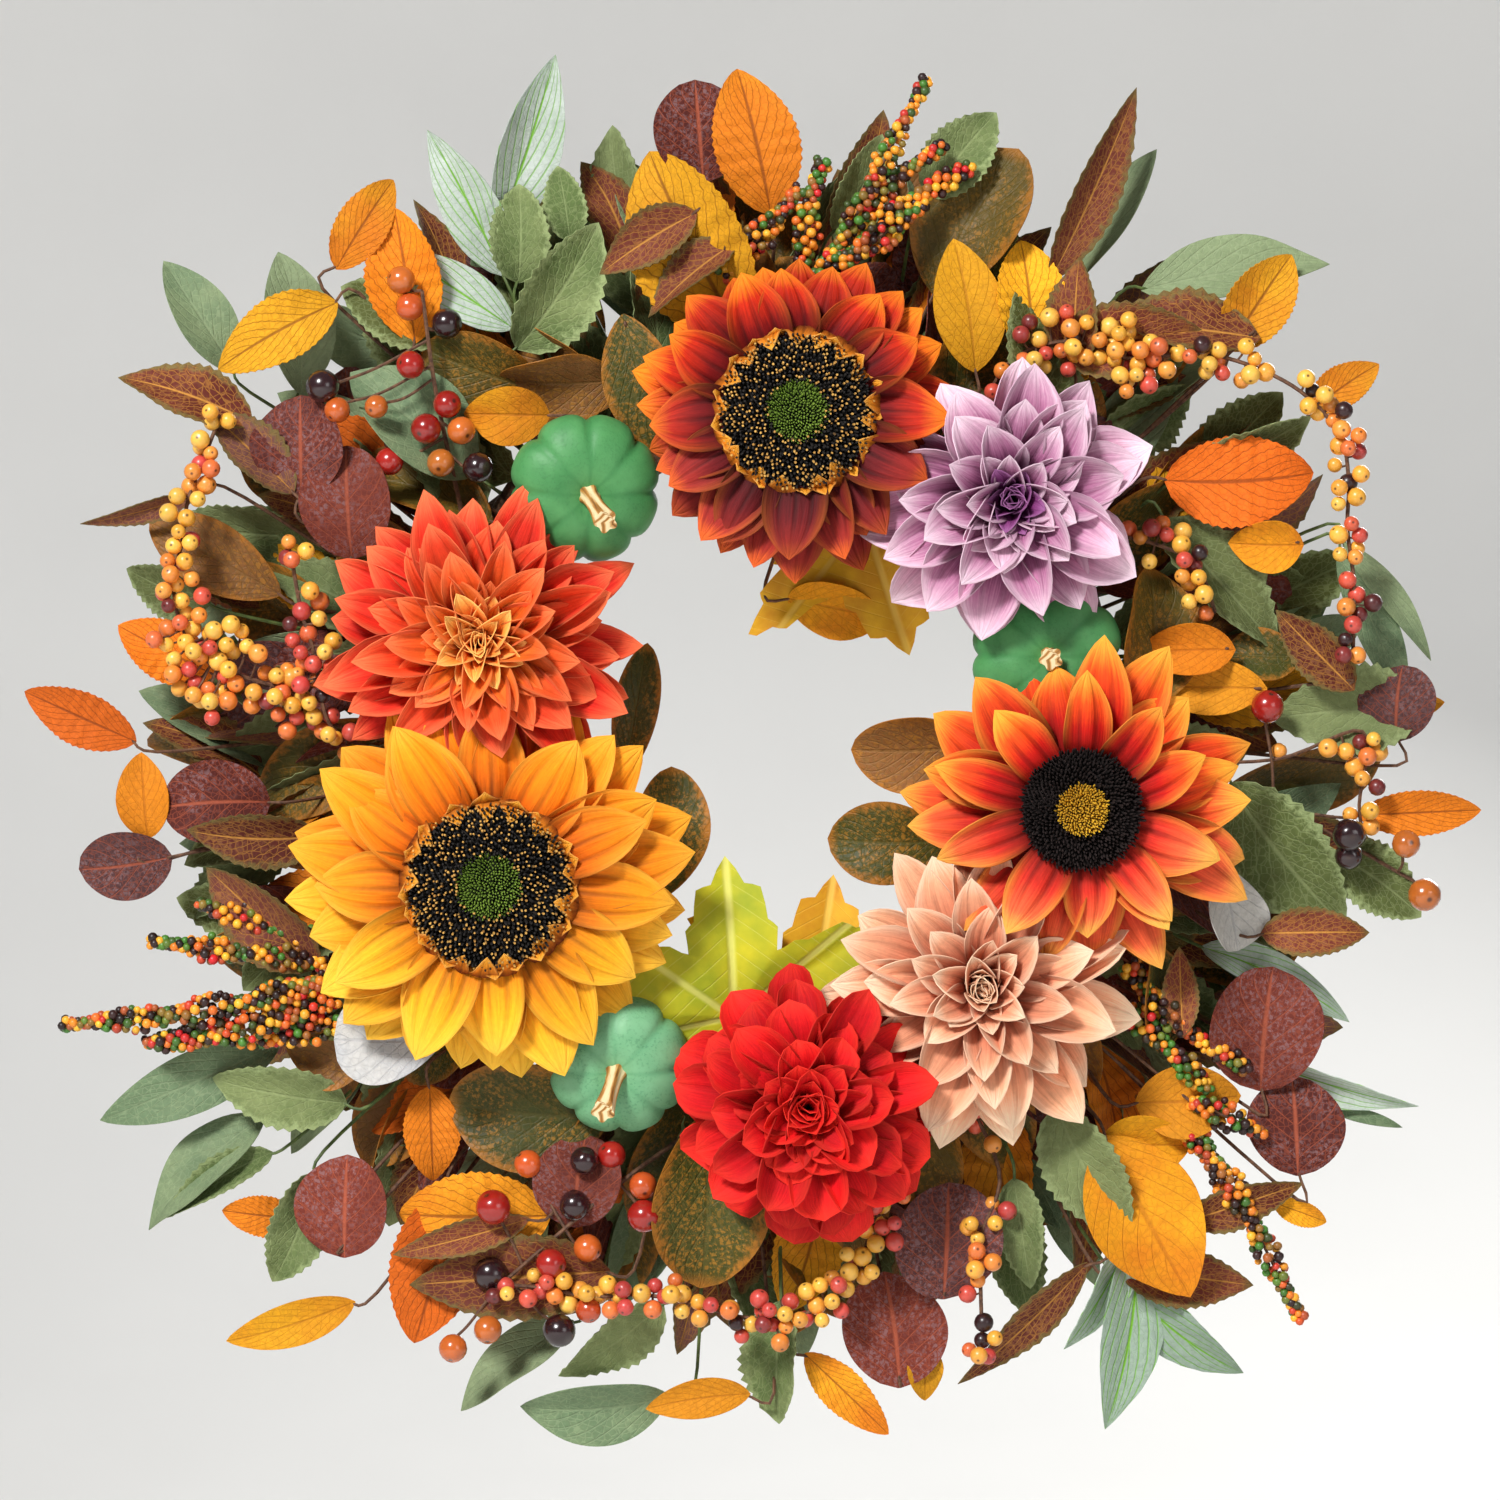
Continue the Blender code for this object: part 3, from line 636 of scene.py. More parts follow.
# %% The recipe for leaf cloth
def leaf_cloth(name, body, other, vein, third=None, rim=None, mottle=None, mottle_show=0.0, veins=8,
               slant=0.45, vein_width=0.12, vein_show=0.6, net_scale=330.0, net_show=0.25,
               roughness=0.75, patch=45.0):
    """Body and other take turns in patches, and some leaves are dyed with the third colour instead."""
    finish = Finish(name, Roughness=roughness, Specular_IOR_Level=0.25)
    patches = finish.place.noise(patch, 3.0)
    fine = finish.place.noise(420.0, 4.0)
    age = (patches * 0.9 + finish.chance * 0.7 - 0.3).clamped()
    colour = age.step(0.25, 0.75).mix(body, other)
    if third:
        colour = finish.second.step(0.62, 0.86).mix(colour, third)
    saw = finish.along * veins - finish.aside * (veins * slant)
    side_vein = 1.0 - saw.zigzag().step(0.0, vein_width)
    midrib = 1.0 - finish.aside.step(0.015, 0.07)
    net = finish.place.cells(net_scale).step(0.0, 0.11)
    web = (side_vein * 0.8).higher(midrib)
    if mottle:
        spots = finish.place.noise(560.0, 5.0).step(0.46, 0.58)
        spots = spots * patches.step(0.34, 0.58) * (1.0 - web * 0.6) * net
        colour = (spots * mottle_show).mix(colour, mottle)
    colour = (web * vein_show).higher((1.0 - net) * net_show).mix(colour, vein)
    if rim:
        worn = finish.aside + (fine - 0.5) * 0.7
        edge = worn.step(0.70, 1.0).higher(finish.along.step(0.88, 1.0))
        colour = (edge * 0.8).mix(colour, rim)
    # The fine noise and the third tone make the cloth darker: at random, and for the deeper layer, whose third
    # tone is kept low, as painted shade.
    colour = colour.shaded((fine * 0.5 + 0.72) * (finish.third * 0.35 + 0.78))
    return finish.feed(colour, fine * 0.4 + net * 0.3 - web * 0.8, 0.6, 0.0006)


LEAF_CLOTH = {
    "serrated": leaf_cloth(
        "green_leaf_cloth", (88, 106, 58), (126, 138, 88), (158, 170, 118), (84, 90, 42),
        rim=(150, 164, 112), vein_show=0.4,
    ),
    "beech": leaf_cloth(
        "beech_leaf_cloth", (242, 172, 30), (230, 128, 22), (120, 54, 16), (222, 104, 22),
        veins=9, vein_width=0.09, vein_show=0.7, net_show=0.15, patch=28.0,
    ),
    "sage": leaf_cloth(
        "sage_leaf_cloth", (104, 126, 92), (136, 152, 112), (164, 178, 138),
        veins=7, vein_show=0.25, roughness=0.65,
    ),
    "pale": leaf_cloth(
        "pale_leaf_cloth", (174, 186, 174), (206, 214, 206), (112, 174, 30), (152, 170, 154),
        veins=4, slant=0.9, vein_width=0.15, vein_show=0.95, net_show=0.1,
    ),
    "long": leaf_cloth(
        "burgundy_leaf_cloth", (88, 32, 22), (116, 52, 40), (204, 142, 62), (120, 76, 70),
        rim=(116, 104, 56), mottle=(176, 122, 76), mottle_show=0.3,
        veins=9, vein_width=0.09, vein_show=0.85, net_show=0.35,
    ),
    "round": leaf_cloth(
        "round_leaf_cloth", (78, 28, 22), (112, 46, 34), (168, 84, 58), (82, 50, 50),
        mottle=(156, 122, 124), mottle_show=0.45,
        veins=6, slant=0.4, vein_width=0.08, vein_show=0.8, net_scale=420.0, net_show=0.35,
    ),
    "magnolia": leaf_cloth(
        "olive_leaf_cloth", (66, 70, 24), (98, 80, 28), (120, 104, 50), (140, 92, 48),
        rim=(176, 112, 36), mottle=(188, 130, 44), mottle_show=0.55, vein_show=0.22, roughness=0.5,
    ),
    "gold": leaf_cloth(
        "gold_leaf_cloth", (230, 162, 24), (214, 122, 20), (150, 76, 18), (222, 144, 26),
        veins=7, vein_width=0.06, vein_show=0.4, net_show=0.15, patch=28.0,
    ),
    "white": leaf_cloth(
        "white_leaf_cloth", (216, 212, 204), (190, 192, 194), (140, 140, 150),
        veins=6, vein_show=0.3, net_show=0.1,
    ),
}
print("leaf cloths:", sorted(LEAF_CLOTH))

# %% [markdown]
# ## Nine leaves
# Each kind of leaf has its own outline and its own relief: beech leaves are pleated between their side veins,
# rounder leaves are smooth and dished, and all are a little folded along the midrib.

# %% Cut the leaves
def leaf_relief(fold, pleat=0.0, veins=8, slant=0.45):
    def relief(across, along):
        ridge = math.cos(math.tau * (veins * along - veins * slant * 2 * abs(across)))
        return fold * abs(across) + pleat * ridge * min(1.0, 6 * abs(across))

    return relief


LEAF_CLOTH_THICKNESS = 0.35  # in millimetres
LEAF_SHAPES = {
    "serrated": model_blade(toothed(rounded(0.42, 0.8), 26, 0.10), 8, 26, leaf_relief(0.26, 0.020)),
    "beech": model_blade(toothed(rounded(0.46, 0.75), 36, 0.05), 8, 36, leaf_relief(0.20, 0.016, 9)),
    "sage": model_blade(rounded(0.46, 0.85), 8, 20, leaf_relief(0.25)),
    "pale": model_blade(rounded(0.40, 0.9), 8, 20, leaf_relief(0.28, 0.012, 5, 0.9)),
    "long": model_blade(toothed(rounded(0.42, 0.9), 28, 0.08), 8, 28, leaf_relief(0.25, 0.015, 10)),
    "round": model_blade(rounded(0.50, 0.55), 10, 20, leaf_relief(0.06)),
    "magnolia": model_blade(rounded(0.52, 0.65), 8, 20, leaf_relief(0.20)),
    "gold": model_blade(rounded(0.45, 0.8), 8, 20, leaf_relief(0.20, 0.008, 7)),
    "white": model_blade(rounded(0.62, 0.5), 8, 20, leaf_relief(0.10)),
}
print("leaf shapes:", {kind: len(shape.faces) for kind, shape in LEAF_SHAPES.items()})

# %% [markdown]
# ## Where each leaf goes
# The maker fans the leaves out by hand, and this table lists them one by one. A row is one leaf: the clock and
# reach of its foot, the clock and reach of its tip, and its width. Leaves that reach far out lie deeper than those
# near the flowers, which the rule in `leaf_height` says. Each kind has its own layer above or below that rule, and
# a few single leaves that lie over or under their neighbours are given a height of their own.

# %% The leaf table
LEAVES = {
    "pale": (
        (115, 205, 115, 276, 17), (123, 238, 119, 317, 17), (146, 280, 143, 337, 24),
        (144, 262, 153, 288, 19), (143, 264, 153, 326, 29), (329, 203, 323, 258, 21),
        (331, 225, 332, 293, 24), (333, 244, 343, 302, 27),
    ),
    "serrated": (
        (8, 217, 12, 259, 23), (17, 240, 20, 283, 28), (42, 176, 30, 224, 36), (58, 212, 60, 267, 32),
        (87, 279, 87, 216, 38), (95, 198, 108, 254, 46), (101, 245, 104, 288, 29), (61, 193, 80, 217, 34),
        (141, 196, 144, 257, 34), (150, 212, 154, 257, 21), (178, 236, 178, 288, 30), (190, 240, 197, 282, 26),
        (226, 262, 222, 308, 27), (229, 232, 238, 275, 27), (230, 270, 232, 322, 17), (284, 240, 285, 278, 23),
        (322, 216, 317, 261, 28), (328, 195, 343, 225, 34), (332, 219, 337, 256, 26), (339, 226, 341, 257, 19),
    ),
    "beech": (
        (1, 222, 359, 284, 36), (35, 198, 27, 237, 29), (50, 256, 47, 302, 27), (57, 202, 65, 257, 38),
        (59, 270, 58, 304, 18), (97, 253, 95, 304, 19), (132, 290, 130, 312, 11), (176, 258, 169, 293, 19),
        (204, 218, 217, 253, 38), (215, 229, 209, 289, 38), (224, 201, 217, 231, 24), (224, 280, 229, 301, 18),
        (270, 264, 274, 311, 23), (277, 232, 280, 275, 25), (316, 257, 305, 282, 28), (318, 268, 327, 282, 22),
        (319, 222, 326, 270, 32), (357, 172, 349, 252, 50),
    ),
    "sage": (
        (34, 232, 34, 300, 20), (40, 250, 49, 315, 31), (71, 260, 83, 288, 12), (72, 256, 87, 275, 19),
        (123, 286, 121, 317, 6), (188, 280, 200, 299, 31), (198, 258, 204, 312, 24), (233, 264, 232, 332, 29),
        (238, 240, 241, 324, 25), (305, 272, 308, 326, 25), (307, 245, 316, 289, 29), (313, 165, 311, 234, 38),
    ),
    "long": (
        (32, 228, 29, 315, 22), (40, 203, 33, 243, 23), (51, 269, 39, 221, 32), (85, 249, 76, 222, 22),
        (111, 224, 107, 267, 21), (125, 215, 116, 197, 16), (139, 268, 129, 290, 19), (146, 270, 138, 309, 26),
        (148, 258, 163, 279, 20), (196, 231, 213, 269, 36), (206, 222, 216, 264, 15), (243, 209, 258, 234, 31),
        (258, 188, 260, 243, 25), (294, 258, 288, 301, 11), (298, 222, 300, 271, 24), (302, 252, 300, 310, 27),
        (353, 223, 341, 212, 23), (357, 209, 345, 187, 22), (36, 205, 47, 252, 32),
    ),
    "round": (
        (90, 267, 83, 269, 32), (125, 256, 114, 233, 46), (129, 290, 122, 266, 40), (162, 246, 158, 199, 44),
        (168, 278, 166, 231, 43), (201, 218, 205, 181, 36), (219, 279, 225, 247, 40), (259, 253, 259, 292, 29),
        (263, 208, 264, 254, 34), (294, 188, 306, 212, 38), (298, 219, 307, 241, 38), (354, 236, 354, 279, 39),
    ),
    "magnolia": (
        (21, 202, 22, 271, 46), (85, 165, 66, 179, 38), (81, 230, 80, 199, 23), (91, 89, 92, 38, 34),
        (118, 89, 147, 50, 34), (128, 212, 117, 187, 27), (189, 159, 186, 230, 48), (202, 169, 220, 204, 46),
        (213, 79, 257, 44, 32), (231, 211, 237, 239, 27), (256, 60, 310, 67, 19), (287, 212, 290, 274, 28),
        (328, 174, 320, 220, 36), (339, 163, 324, 187, 34), (342, 188, 340, 127, 31),
    ),
    "gold": (
        (30, 179, 21, 226, 29), (70, 242, 67, 213, 22), (79, 202, 76, 161, 21), (84, 213, 82, 163, 23),
        (87, 268, 87, 288, 9), (134, 218, 127, 252, 30), (140, 221, 133, 247, 26), (139, 219, 143, 292, 46),
        (165, 262, 166, 286, 15), (181, 275, 190, 282, 16), (216, 292, 221, 342, 18), (261, 262, 269, 259, 22),
        (327, 163, 318, 187, 25), (10, 62, 44, 78, 24),
    ),
    "white": ((105, 199, 114, 215, 29), (227, 182, 235, 218, 36)),
}
LEAF_REPLACES = {
    "pale": ("leaf_spray_bottom_right", "leaf_spray_upper_left"),
    "serrated": ("leaf_spray_top_right", "leaf_spray_bottom_left", "leaf_spray_lower_left"),
    "sage": ("leaf_spray_upper_right", "leaf_spray_lower_right"),
    "beech": ("leaf_spray_right_high",),
    "gold": ("leaf_spray_left",),
    "round": ("leaf_spray_right", "leaf_spray_bottom"),
    "long": ("leaf_spray_left_high",),
    "magnolia": ("inner_leaves_right", "inner_leaves_left"),
}
KIND_HEIGHT = {
    "sage": -7.0, "beech": 3.0, "gold": 3.0, "magnolia": -2.0, "round": 5.0, "pale": -2.0, "serrated": -1.0,
    "long": 11.0,
}
STILL_LEAVES = ("round", "beech", "gold")  # broad leaves that face the viewer more squarely
OWN_HEIGHTS = {  # the row of a leaf, and the height that it has instead of the rule's
    (139, 219, 143, 292, 46): 51, (139, 268, 129, 290, 19): 43, (243, 209, 258, 234, 31): 46,
    (115, 205, 115, 276, 17): 39, (258, 188, 260, 243, 25): 50, (141, 196, 144, 257, 34): 59,
    (146, 270, 138, 309, 26): 31, (123, 238, 119, 317, 17): 38, (342, 188, 340, 127, 31): 68,
    (227, 182, 235, 218, 36): 68, (105, 199, 114, 215, 29): 62,
}
RING_HEIGHT = 60.0  # how far in front of the door the leaves start at the flowers
FLOWER_REACH = 150.0
FALL = 0.13  # how much deeper a leaf lies for each millimetre of reach
INNER_REACH = 110.0  # leaves nearer the middle than this hang in the opening
INNER_HEIGHT = 34.0


def leaf_height(reach, row):
    """How far in front of the door a leaf's middle lies."""
    rule = RING_HEIGHT - FALL * (reach - FLOWER_REACH) if reach > INNER_REACH else INNER_HEIGHT
    return OWN_HEIGHTS.get(row, rule)


CUT_LONGER = 1.03  # a leaf is cut larger than it looks from the front, because it bends away
CUT_WIDER = 1.04
leaf_feet = []


def lay_leaf(kind, foot, tip, roll, length, width, *bends, brightest=1.0):
    """One leaf, rolled about its length and bent as `grow` says. Its foot is kept for the stems."""
    along = tip - foot
    facing = turn_about(FRONT, along.normalized(), roll)
    placed = grow(LEAF_SHAPES[kind], length, width, *bends)
    # A low third tone darkens the cloth: `brightest` below 1 paints the deeper leaves darker, as painted shade.
    tone = (DRAW.random(), DRAW.random(), DRAW.random() * brightest)
    leaf_feet.append((kind, foot, along.normalized()))
    return LEAF_SHAPES[kind], set_down(placed, foot, along, facing), tone


for kind, rows in LEAVES.items():
    roll, twist = (14.0, 22.0) if kind in STILL_LEAVES else (30.0, 34.0)
    copies = []
    for row in rows:
        foot_clock, foot_reach, tip_clock, tip_reach, width = row
        height = leaf_height((foot_reach + tip_reach) / 2, row) + KIND_HEIGHT.get(kind, 0.0) + spread(2.5)
        foot = on_ring(foot_clock, foot_reach, height)
        tip = on_ring(tip_clock, tip_reach, height - 2.0)
        lift = DRAW.uniform(8.0, 30.0)
        copies.append(lay_leaf(
            kind, foot, tip, spread(roll), (tip - foot).length * CUT_LONGER, width * MM * CUT_WIDER,
            lift, -lift, DRAW.uniform(-0.04, 0.16), spread(twist), spread(0.10), DRAW.uniform(0.02, 0.07),
        ))
    replaced = LEAF_REPLACES.get(kind, ())
    gather(f"{kind}_leaves", copies, LEAF_CLOTH[kind], replaced, LEAF_CLOTH_THICKNESS)
print("leaves:", sum(len(rows) for rows in LEAVES.values()))

# %% [markdown]
# ## Leaves at the back
# Behind the leaves that show best there is a second, deeper layer, which closes the gaps and fills the wreath
# when it is seen from the side. Its cloth is darker, as painted shade for leaves that lie deep. It is laid by
# rule: evenly around the ring, with a seeded random wander.

# %% The deeper layer
DEEPER_LEAVES = (  # kind, how many, reach of foot and of tip, width, height of the foot, clock of the first
    ("serrated", 26, 150, 215, 33, 30.0, 0.0), ("round", 18, 158, 208, 38, 36.0, 7.0),
    ("magnolia", 22, 150, 212, 36, 38.0, 13.0), ("long", 22, 164, 232, 28, 26.0, 4.0),
    ("sage", 16, 176, 250, 28, 20.0, 11.0), ("beech", 16, 178, 238, 32, 28.0, 15.0),
    ("serrated", 24, 186, 246, 32, 22.0, 5.0), ("long", 22, 190, 252, 27, 17.0, 10.0),
    ("round", 14, 192, 236, 38, 25.0, 19.0), ("magnolia", 18, 180, 240, 36, 19.0, 1.0),
    ("serrated", 20, 206, 264, 31, 15.0, 9.0), ("long", 18, 212, 270, 27, 20.0, 3.0),
    ("magnolia", 14, 200, 258, 34, 13.0, 17.0), ("sage", 12, 208, 268, 27, 12.0, 22.0),
)
behind = {}
for kind, count, near, far, width, height, first in DEEPER_LEAVES:
    copies = behind.setdefault(kind, [])
    for number in range(count):
        clock = first + 360.0 * number / count + spread(5.0)
        turn = spread(9.0)
        foot = on_ring(clock, near + spread(8.0), height + spread(4.0))
        tip = on_ring(clock + turn, far + spread(10.0), height - 4.0 + spread(6.0))
        copies.append(lay_leaf(
            kind, foot, tip, spread(35.0), (tip - foot).length, width * MM,
            20.0, -26.0, 0.10, spread(34.0), spread(0.14), 0.05, brightest=0.5,
        ))
for kind, copies in behind.items():
    gather(f"{kind}_leaves_behind", copies, LEAF_CLOTH[kind], (), LEAF_CLOTH_THICKNESS)
print("leaf feet:", len(leaf_feet))

# %% [markdown]
# ## Leaf stems
# No leaf floats: from each foot a wired stem runs back between its neighbours and into the vines. Green stems
# carry the green leaves and brown ones the rest.

# %% Draw the leaf stems
GREEN_STEMMED = ("pale", "serrated", "sage")
ROOT_DEPTH = 0.7  # a stem's root is pushed into the vines, to this share of the rope's radius
green_routes = []
brown_routes = []
for kind, foot, along in leaf_feet:
    side = -1.0 if reach_of(foot) < RING_RADIUS - ROPE_RADIUS else 1.0  # inside or outside the vines
    root_clock = clock_of(foot) + spread(3.0)
    root = on_ring(root_clock, RING_RADIUS + side * ROPE_RADIUS * ROOT_DEPTH, ROPE_HEIGHT + spread(6.0))
    points_inward = reach_of(foot) > 1.05 * reach_of(foot + along * 20 * MM)
    bend = foot + along * (6 if points_inward else -10) * MM
    half = root.lerp(bend, 0.5) + Vector((0.0, 3.0 * MM, 0.0))
    points = smooth_route((root, half, bend, foot + along * 3 * MM), 4)
    radii = [1.1 - 0.5 * index / (len(points) - 1) for index in range(len(points))]
    (green_routes if kind in GREEN_STEMMED else brown_routes).append((points, radii))
twigs("green_leaf_stems", green_routes, STEM)
twigs("brown_leaf_stems", brown_routes, TWIG)
print("stems:", len(green_routes), "green,", len(brown_routes), "brown")

# %% [markdown]
# ## Petal cloth
# A petal is dyed from its foot to its tip, then painted shade darkens its folds and its foot, and its rim is left
# pale. The recipe takes the dye's stops along the petal, a second set of stops for the petals that point down,
# which paints the light and shade of a flower's lower side, and the strength of the painted shade in the long
# grooves.

# %% The recipe for petal cloth
def petal_cloth(name, dye, low_side_painted_light=None, *, rim, grooves=3.0, groove_painted_shade=0.35, foot_shade=0.5,
                streak=0.25, rim_show=0.6, deep=None, deep_show=0.8, deep_bend=0.7):
    """Dyes and the lower side's painted light are (share of length, red, green, blue) stops. `deep` colours inner
    petals' feet.
    """
    finish = Finish(name, Roughness=0.7, Specular_IOR_Level=0.2)
    fine = finish.place.noise(500.0, 4.0)
    streaks = finish.streaks(34.0, 3.0)
    reach = (finish.along + (finish.chance - 0.5) * 0.16 + (streaks - 0.5) * streak).clamped()
    colour = reach.ramp(*dye)
    # Petals that point down take their own stops, which paint the light and shade of the flower's lower side.
    if low_side_painted_light:
        colour = finish.second.step(0.35, 0.75).mix(colour, reach.ramp(*low_side_painted_light))
    if deep:
        inner = (finish.third.math("POWER", finish.third, deep_bend) * (1.35 - finish.along) * deep_show).clamped()
        colour = inner.mix(colour, deep)
    # Painted shade: dark lines along the grooves that fade out towards the tip, then a darker foot.
    groove = (finish.across * grooves).zigzag().step(0.0, 0.26)
    shade = 1.0 - (1.0 - groove) * groove_painted_shade * finish.along.step(1.0, 0.4)
    shade = shade * (1.0 - (1.0 - finish.along.step(0.0, 0.6)) * foot_shade)
    shade = shade * (fine * 0.3 + 0.85) * (finish.chance * 0.3 + 0.85) * (streaks * 0.5 + 0.75)
    colour = colour.shaded(shade)
    pale = finish.aside.step(0.55, 1.05) * finish.along.step(0.2, 0.7)
    edge = pale.higher(finish.along.step(0.78, 1.0)) * (streaks * 1.2 + 0.2)
    colour = (edge * rim_show).mix(colour, rim)
    return finish.feed(colour, streaks * 0.8 + fine * 0.3 + groove * 0.8, 0.6, 0.0008)


PETAL_CLOTH = {
    "rust_sunflower": petal_cloth(
        "rust_petal_cloth",
        ((0.0, 30, 2, 6), (0.50, 122, 8, 8), (0.78, 200, 40, 10), (1.0, 252, 136, 24)),
        ((0.0, 36, 8, 14), (0.55, 110, 24, 28), (0.88, 160, 44, 36), (1.0, 222, 88, 40)),
        rim=(246, 140, 50), grooves=4.0, groove_painted_shade=0.5, rim_show=0.25,
    ),
    "coral_sunflower": petal_cloth(
        "coral_petal_cloth",
        ((0.0, 104, 4, 6), (0.50, 206, 24, 14), (0.74, 244, 82, 24), (1.0, 255, 168, 48)),
        ((0.0, 120, 12, 12), (0.46, 222, 48, 32), (0.74, 248, 104, 60), (1.0, 255, 190, 88)),
        rim=(255, 186, 70), grooves=3.0, groove_painted_shade=0.45, rim_show=0.5,
    ),
    "yellow_sunflower": petal_cloth(
        "yellow_petal_cloth",
        ((0.0, 120, 48, 4), (0.36, 240, 112, 6), (0.7, 252, 140, 12), (1.0, 255, 166, 30)),
        ((0.0, 126, 58, 4), (0.38, 232, 134, 12), (0.7, 250, 172, 28), (1.0, 254, 192, 54)),
        rim=(254, 204, 84), grooves=4.0, groove_painted_shade=0.40, rim_show=0.3, foot_shade=0.4,
    ),
    "purple_dahlia": petal_cloth(
        "purple_petal_cloth",
        ((0.0, 90, 14, 66), (0.30, 154, 62, 118), (0.62, 216, 142, 180), (1.0, 250, 216, 230)),
        rim=(248, 226, 236), grooves=3.0, groove_painted_shade=0.35, rim_show=0.5, streak=0.45, foot_shade=0.35,
        deep=(100, 26, 84), deep_show=0.9,
    ),
    "pink_dahlia": petal_cloth(
        "pink_petal_cloth",
        ((0.0, 164, 68, 48), (0.4, 236, 142, 104), (0.8, 252, 184, 142), (1.0, 255, 222, 186)),
        rim=(254, 224, 192), grooves=3.0, groove_painted_shade=0.35, rim_show=0.6, foot_shade=0.3,
        deep=(182, 88, 66), deep_show=0.8,
    ),
    "red_mum": petal_cloth(
        "red_petal_cloth",
        ((0.0, 70, 0, 6), (0.35, 164, 4, 14), (0.75, 210, 12, 22), (1.0, 232, 36, 30)),
        rim=(232, 72, 44), grooves=2.0, groove_painted_shade=0.35, rim_show=0.3, foot_shade=0.85,
    ),
    "orange_dahlia": petal_cloth(
        "orange_petal_cloth",
        ((0.0, 140, 6, 8), (0.35, 200, 18, 14), (0.75, 226, 40, 26), (1.0, 246, 98, 60)),
        rim=(255, 150, 96), grooves=3.0, groove_painted_shade=0.4, rim_show=0.35, foot_shade=0.4,
        deep=(255, 148, 44), deep_show=1.3, deep_bend=2.2,
    ),
}
PETAL_THICKNESS = 0.4  # in millimetres
HEART_THICKNESS = 0.35
HEART_CLOTH = {
    "purple_dahlia": petal_cloth(
        "purple_heart_cloth", ((0.0, 44, 8, 40), (0.6, 98, 26, 84), (1.0, 150, 80, 138)),
        rim=(180, 140, 180), rim_show=0.3, foot_shade=0.6,
    ),
    "pink_dahlia": petal_cloth(
        "pink_heart_cloth", ((0.0, 150, 76, 48), (0.6, 216, 136, 100), (1.0, 246, 200, 162)),
        rim=(252, 224, 190), rim_show=0.6, foot_shade=0.35,
    ),
    "orange_dahlia": petal_cloth(
        "orange_heart_cloth", ((0.0, 226, 92, 20), (0.6, 252, 140, 44), (1.0, 255, 188, 92)),
        rim=(255, 206, 130), rim_show=0.4, foot_shade=0.3,
    ),
}
AMBER_CLOTH = petal_cloth(
    "amber_bract_cloth", ((0.0, 160, 70, 14), (0.5, 222, 128, 26), (1.0, 244, 168, 48)),
    rim=(248, 190, 110), rim_show=0.4,
)
print("petal cloths:", sorted(PETAL_CLOTH))

# %% [markdown]
# ## Petal shapes
# A sunflower petal is broad with a drawn-out tip and a few long folds. A dahlia petal is a pointed scoop, and a
# mum petal a rounded one. The folds are made in the shape itself, so that light catches them.

# %% Cut the petals
def petal_outline(foot, fullest, tip):
    def width_at(at):
        if at < fullest:
            return foot + (1.0 - foot) * math.sin(math.pi / 2 * at / fullest) ** 0.9
        fall = (at - fullest) / (1.0 - fullest)
        return (1.0 - fall**tip) ** 0.9

    return width_at


def folds(count, depth, curl=0.0):
    """Long folds that fade towards the foot and the tip, and a rim that curls at the end."""
    def relief(across, along):
        fade = math.sin(math.pi * min(max(along, 0.0), 1.0)) ** 0.6
        return depth * fade * math.cos(math.tau * count * across) + curl * along**3 * (2 * across) ** 2

    return relief


BROAD_PETAL = model_blade(petal_outline(0.50, 0.50, 2.0), 10, 14, folds(1.5, 0.065, 0.06))
SCOOP_PETAL = model_blade(petal_outline(0.30, 0.58, 1.9), 8, 12, folds(1.5, 0.05, 0.16))
SPOON_PETAL = model_blade(petal_outline(0.35, 0.66, 3.0), 8, 12, folds(1.5, 0.04, 0.10))
BRACT = model_blade(petal_outline(0.80, 0.20, 1.1), 4, 6, folds(1.0, 0.05))
print("petal faces:", [len(shape.faces) for shape in (BROAD_PETAL, SCOOP_PETAL, SPOON_PETAL, BRACT)])

# %% [markdown]
# ## Rings of petals
# A flower is built in rings. Each ring sets its petals evenly around the flower's middle, then lets every petal
# wander a little in its clock, its tilt, its size and its twist.

# %% Set a ring of petals
FULLER = 1.05  # the petals' cloth is cut this much longer than the frame's plates, and its tips bend back


def petal_ring(shape, centre, count, inner, length, width, start, end, cup, height, first=None,
               level=0.0, wander=1.0):
    """One ring of petals around a flower's middle. Lengths in millimetres, angles in degrees."""
    copies = []
    first = DRAW.uniform(0.0, 360.0) if first is None else first
    for number in range(count):
        clock = first + 360.0 * number / count + spread(0.16 * 360.0 / count * wander)
        along = outward(clock)
        foot = centre + along * inner * MM + FRONT * (height + spread(0.6 * wander)) * MM
        tilt = spread(7.0 * wander)
        size = FULLER + spread(0.09 * wander)
        placed = grow(
            shape, length * size * MM, width * (FULLER + spread(0.10 * wander)) * MM, start + tilt,
            end + tilt + spread(10.0 * wander), cup * (1.0 + spread(0.4 * wander)), spread(24.0),
            spread(0.09 * wander), 0.05 * wander,
        )
        # The second tone is 1 for a petal that points straight down; petal_cloth paints the lower side's light and
        # shade from it.
        low = 0.5 - 0.5 * along.z
        copies.append((shape, set_down(placed, foot, along, FRONT), (DRAW.random(), low, level)))
    return copies


# How much further forward than its plates in the frame a flower's cloth sits, in millimetres. A flower that lies
# over its neighbour comes forward, and one that lies under it goes back.
FORWARD = {
    "coral_sunflower": 5.0, "red_mum": 4.0, "yellow_sunflower": 3.0, "purple_dahlia": 2.0, "pink_dahlia": -3.0,
    "orange_dahlia": -3.0,
}


def flower_middle(name):
    low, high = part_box(f"{name}_outer_petals")
    return (low + high) / 2 + FRONT * FORWARD.get(name, 0.0) * MM


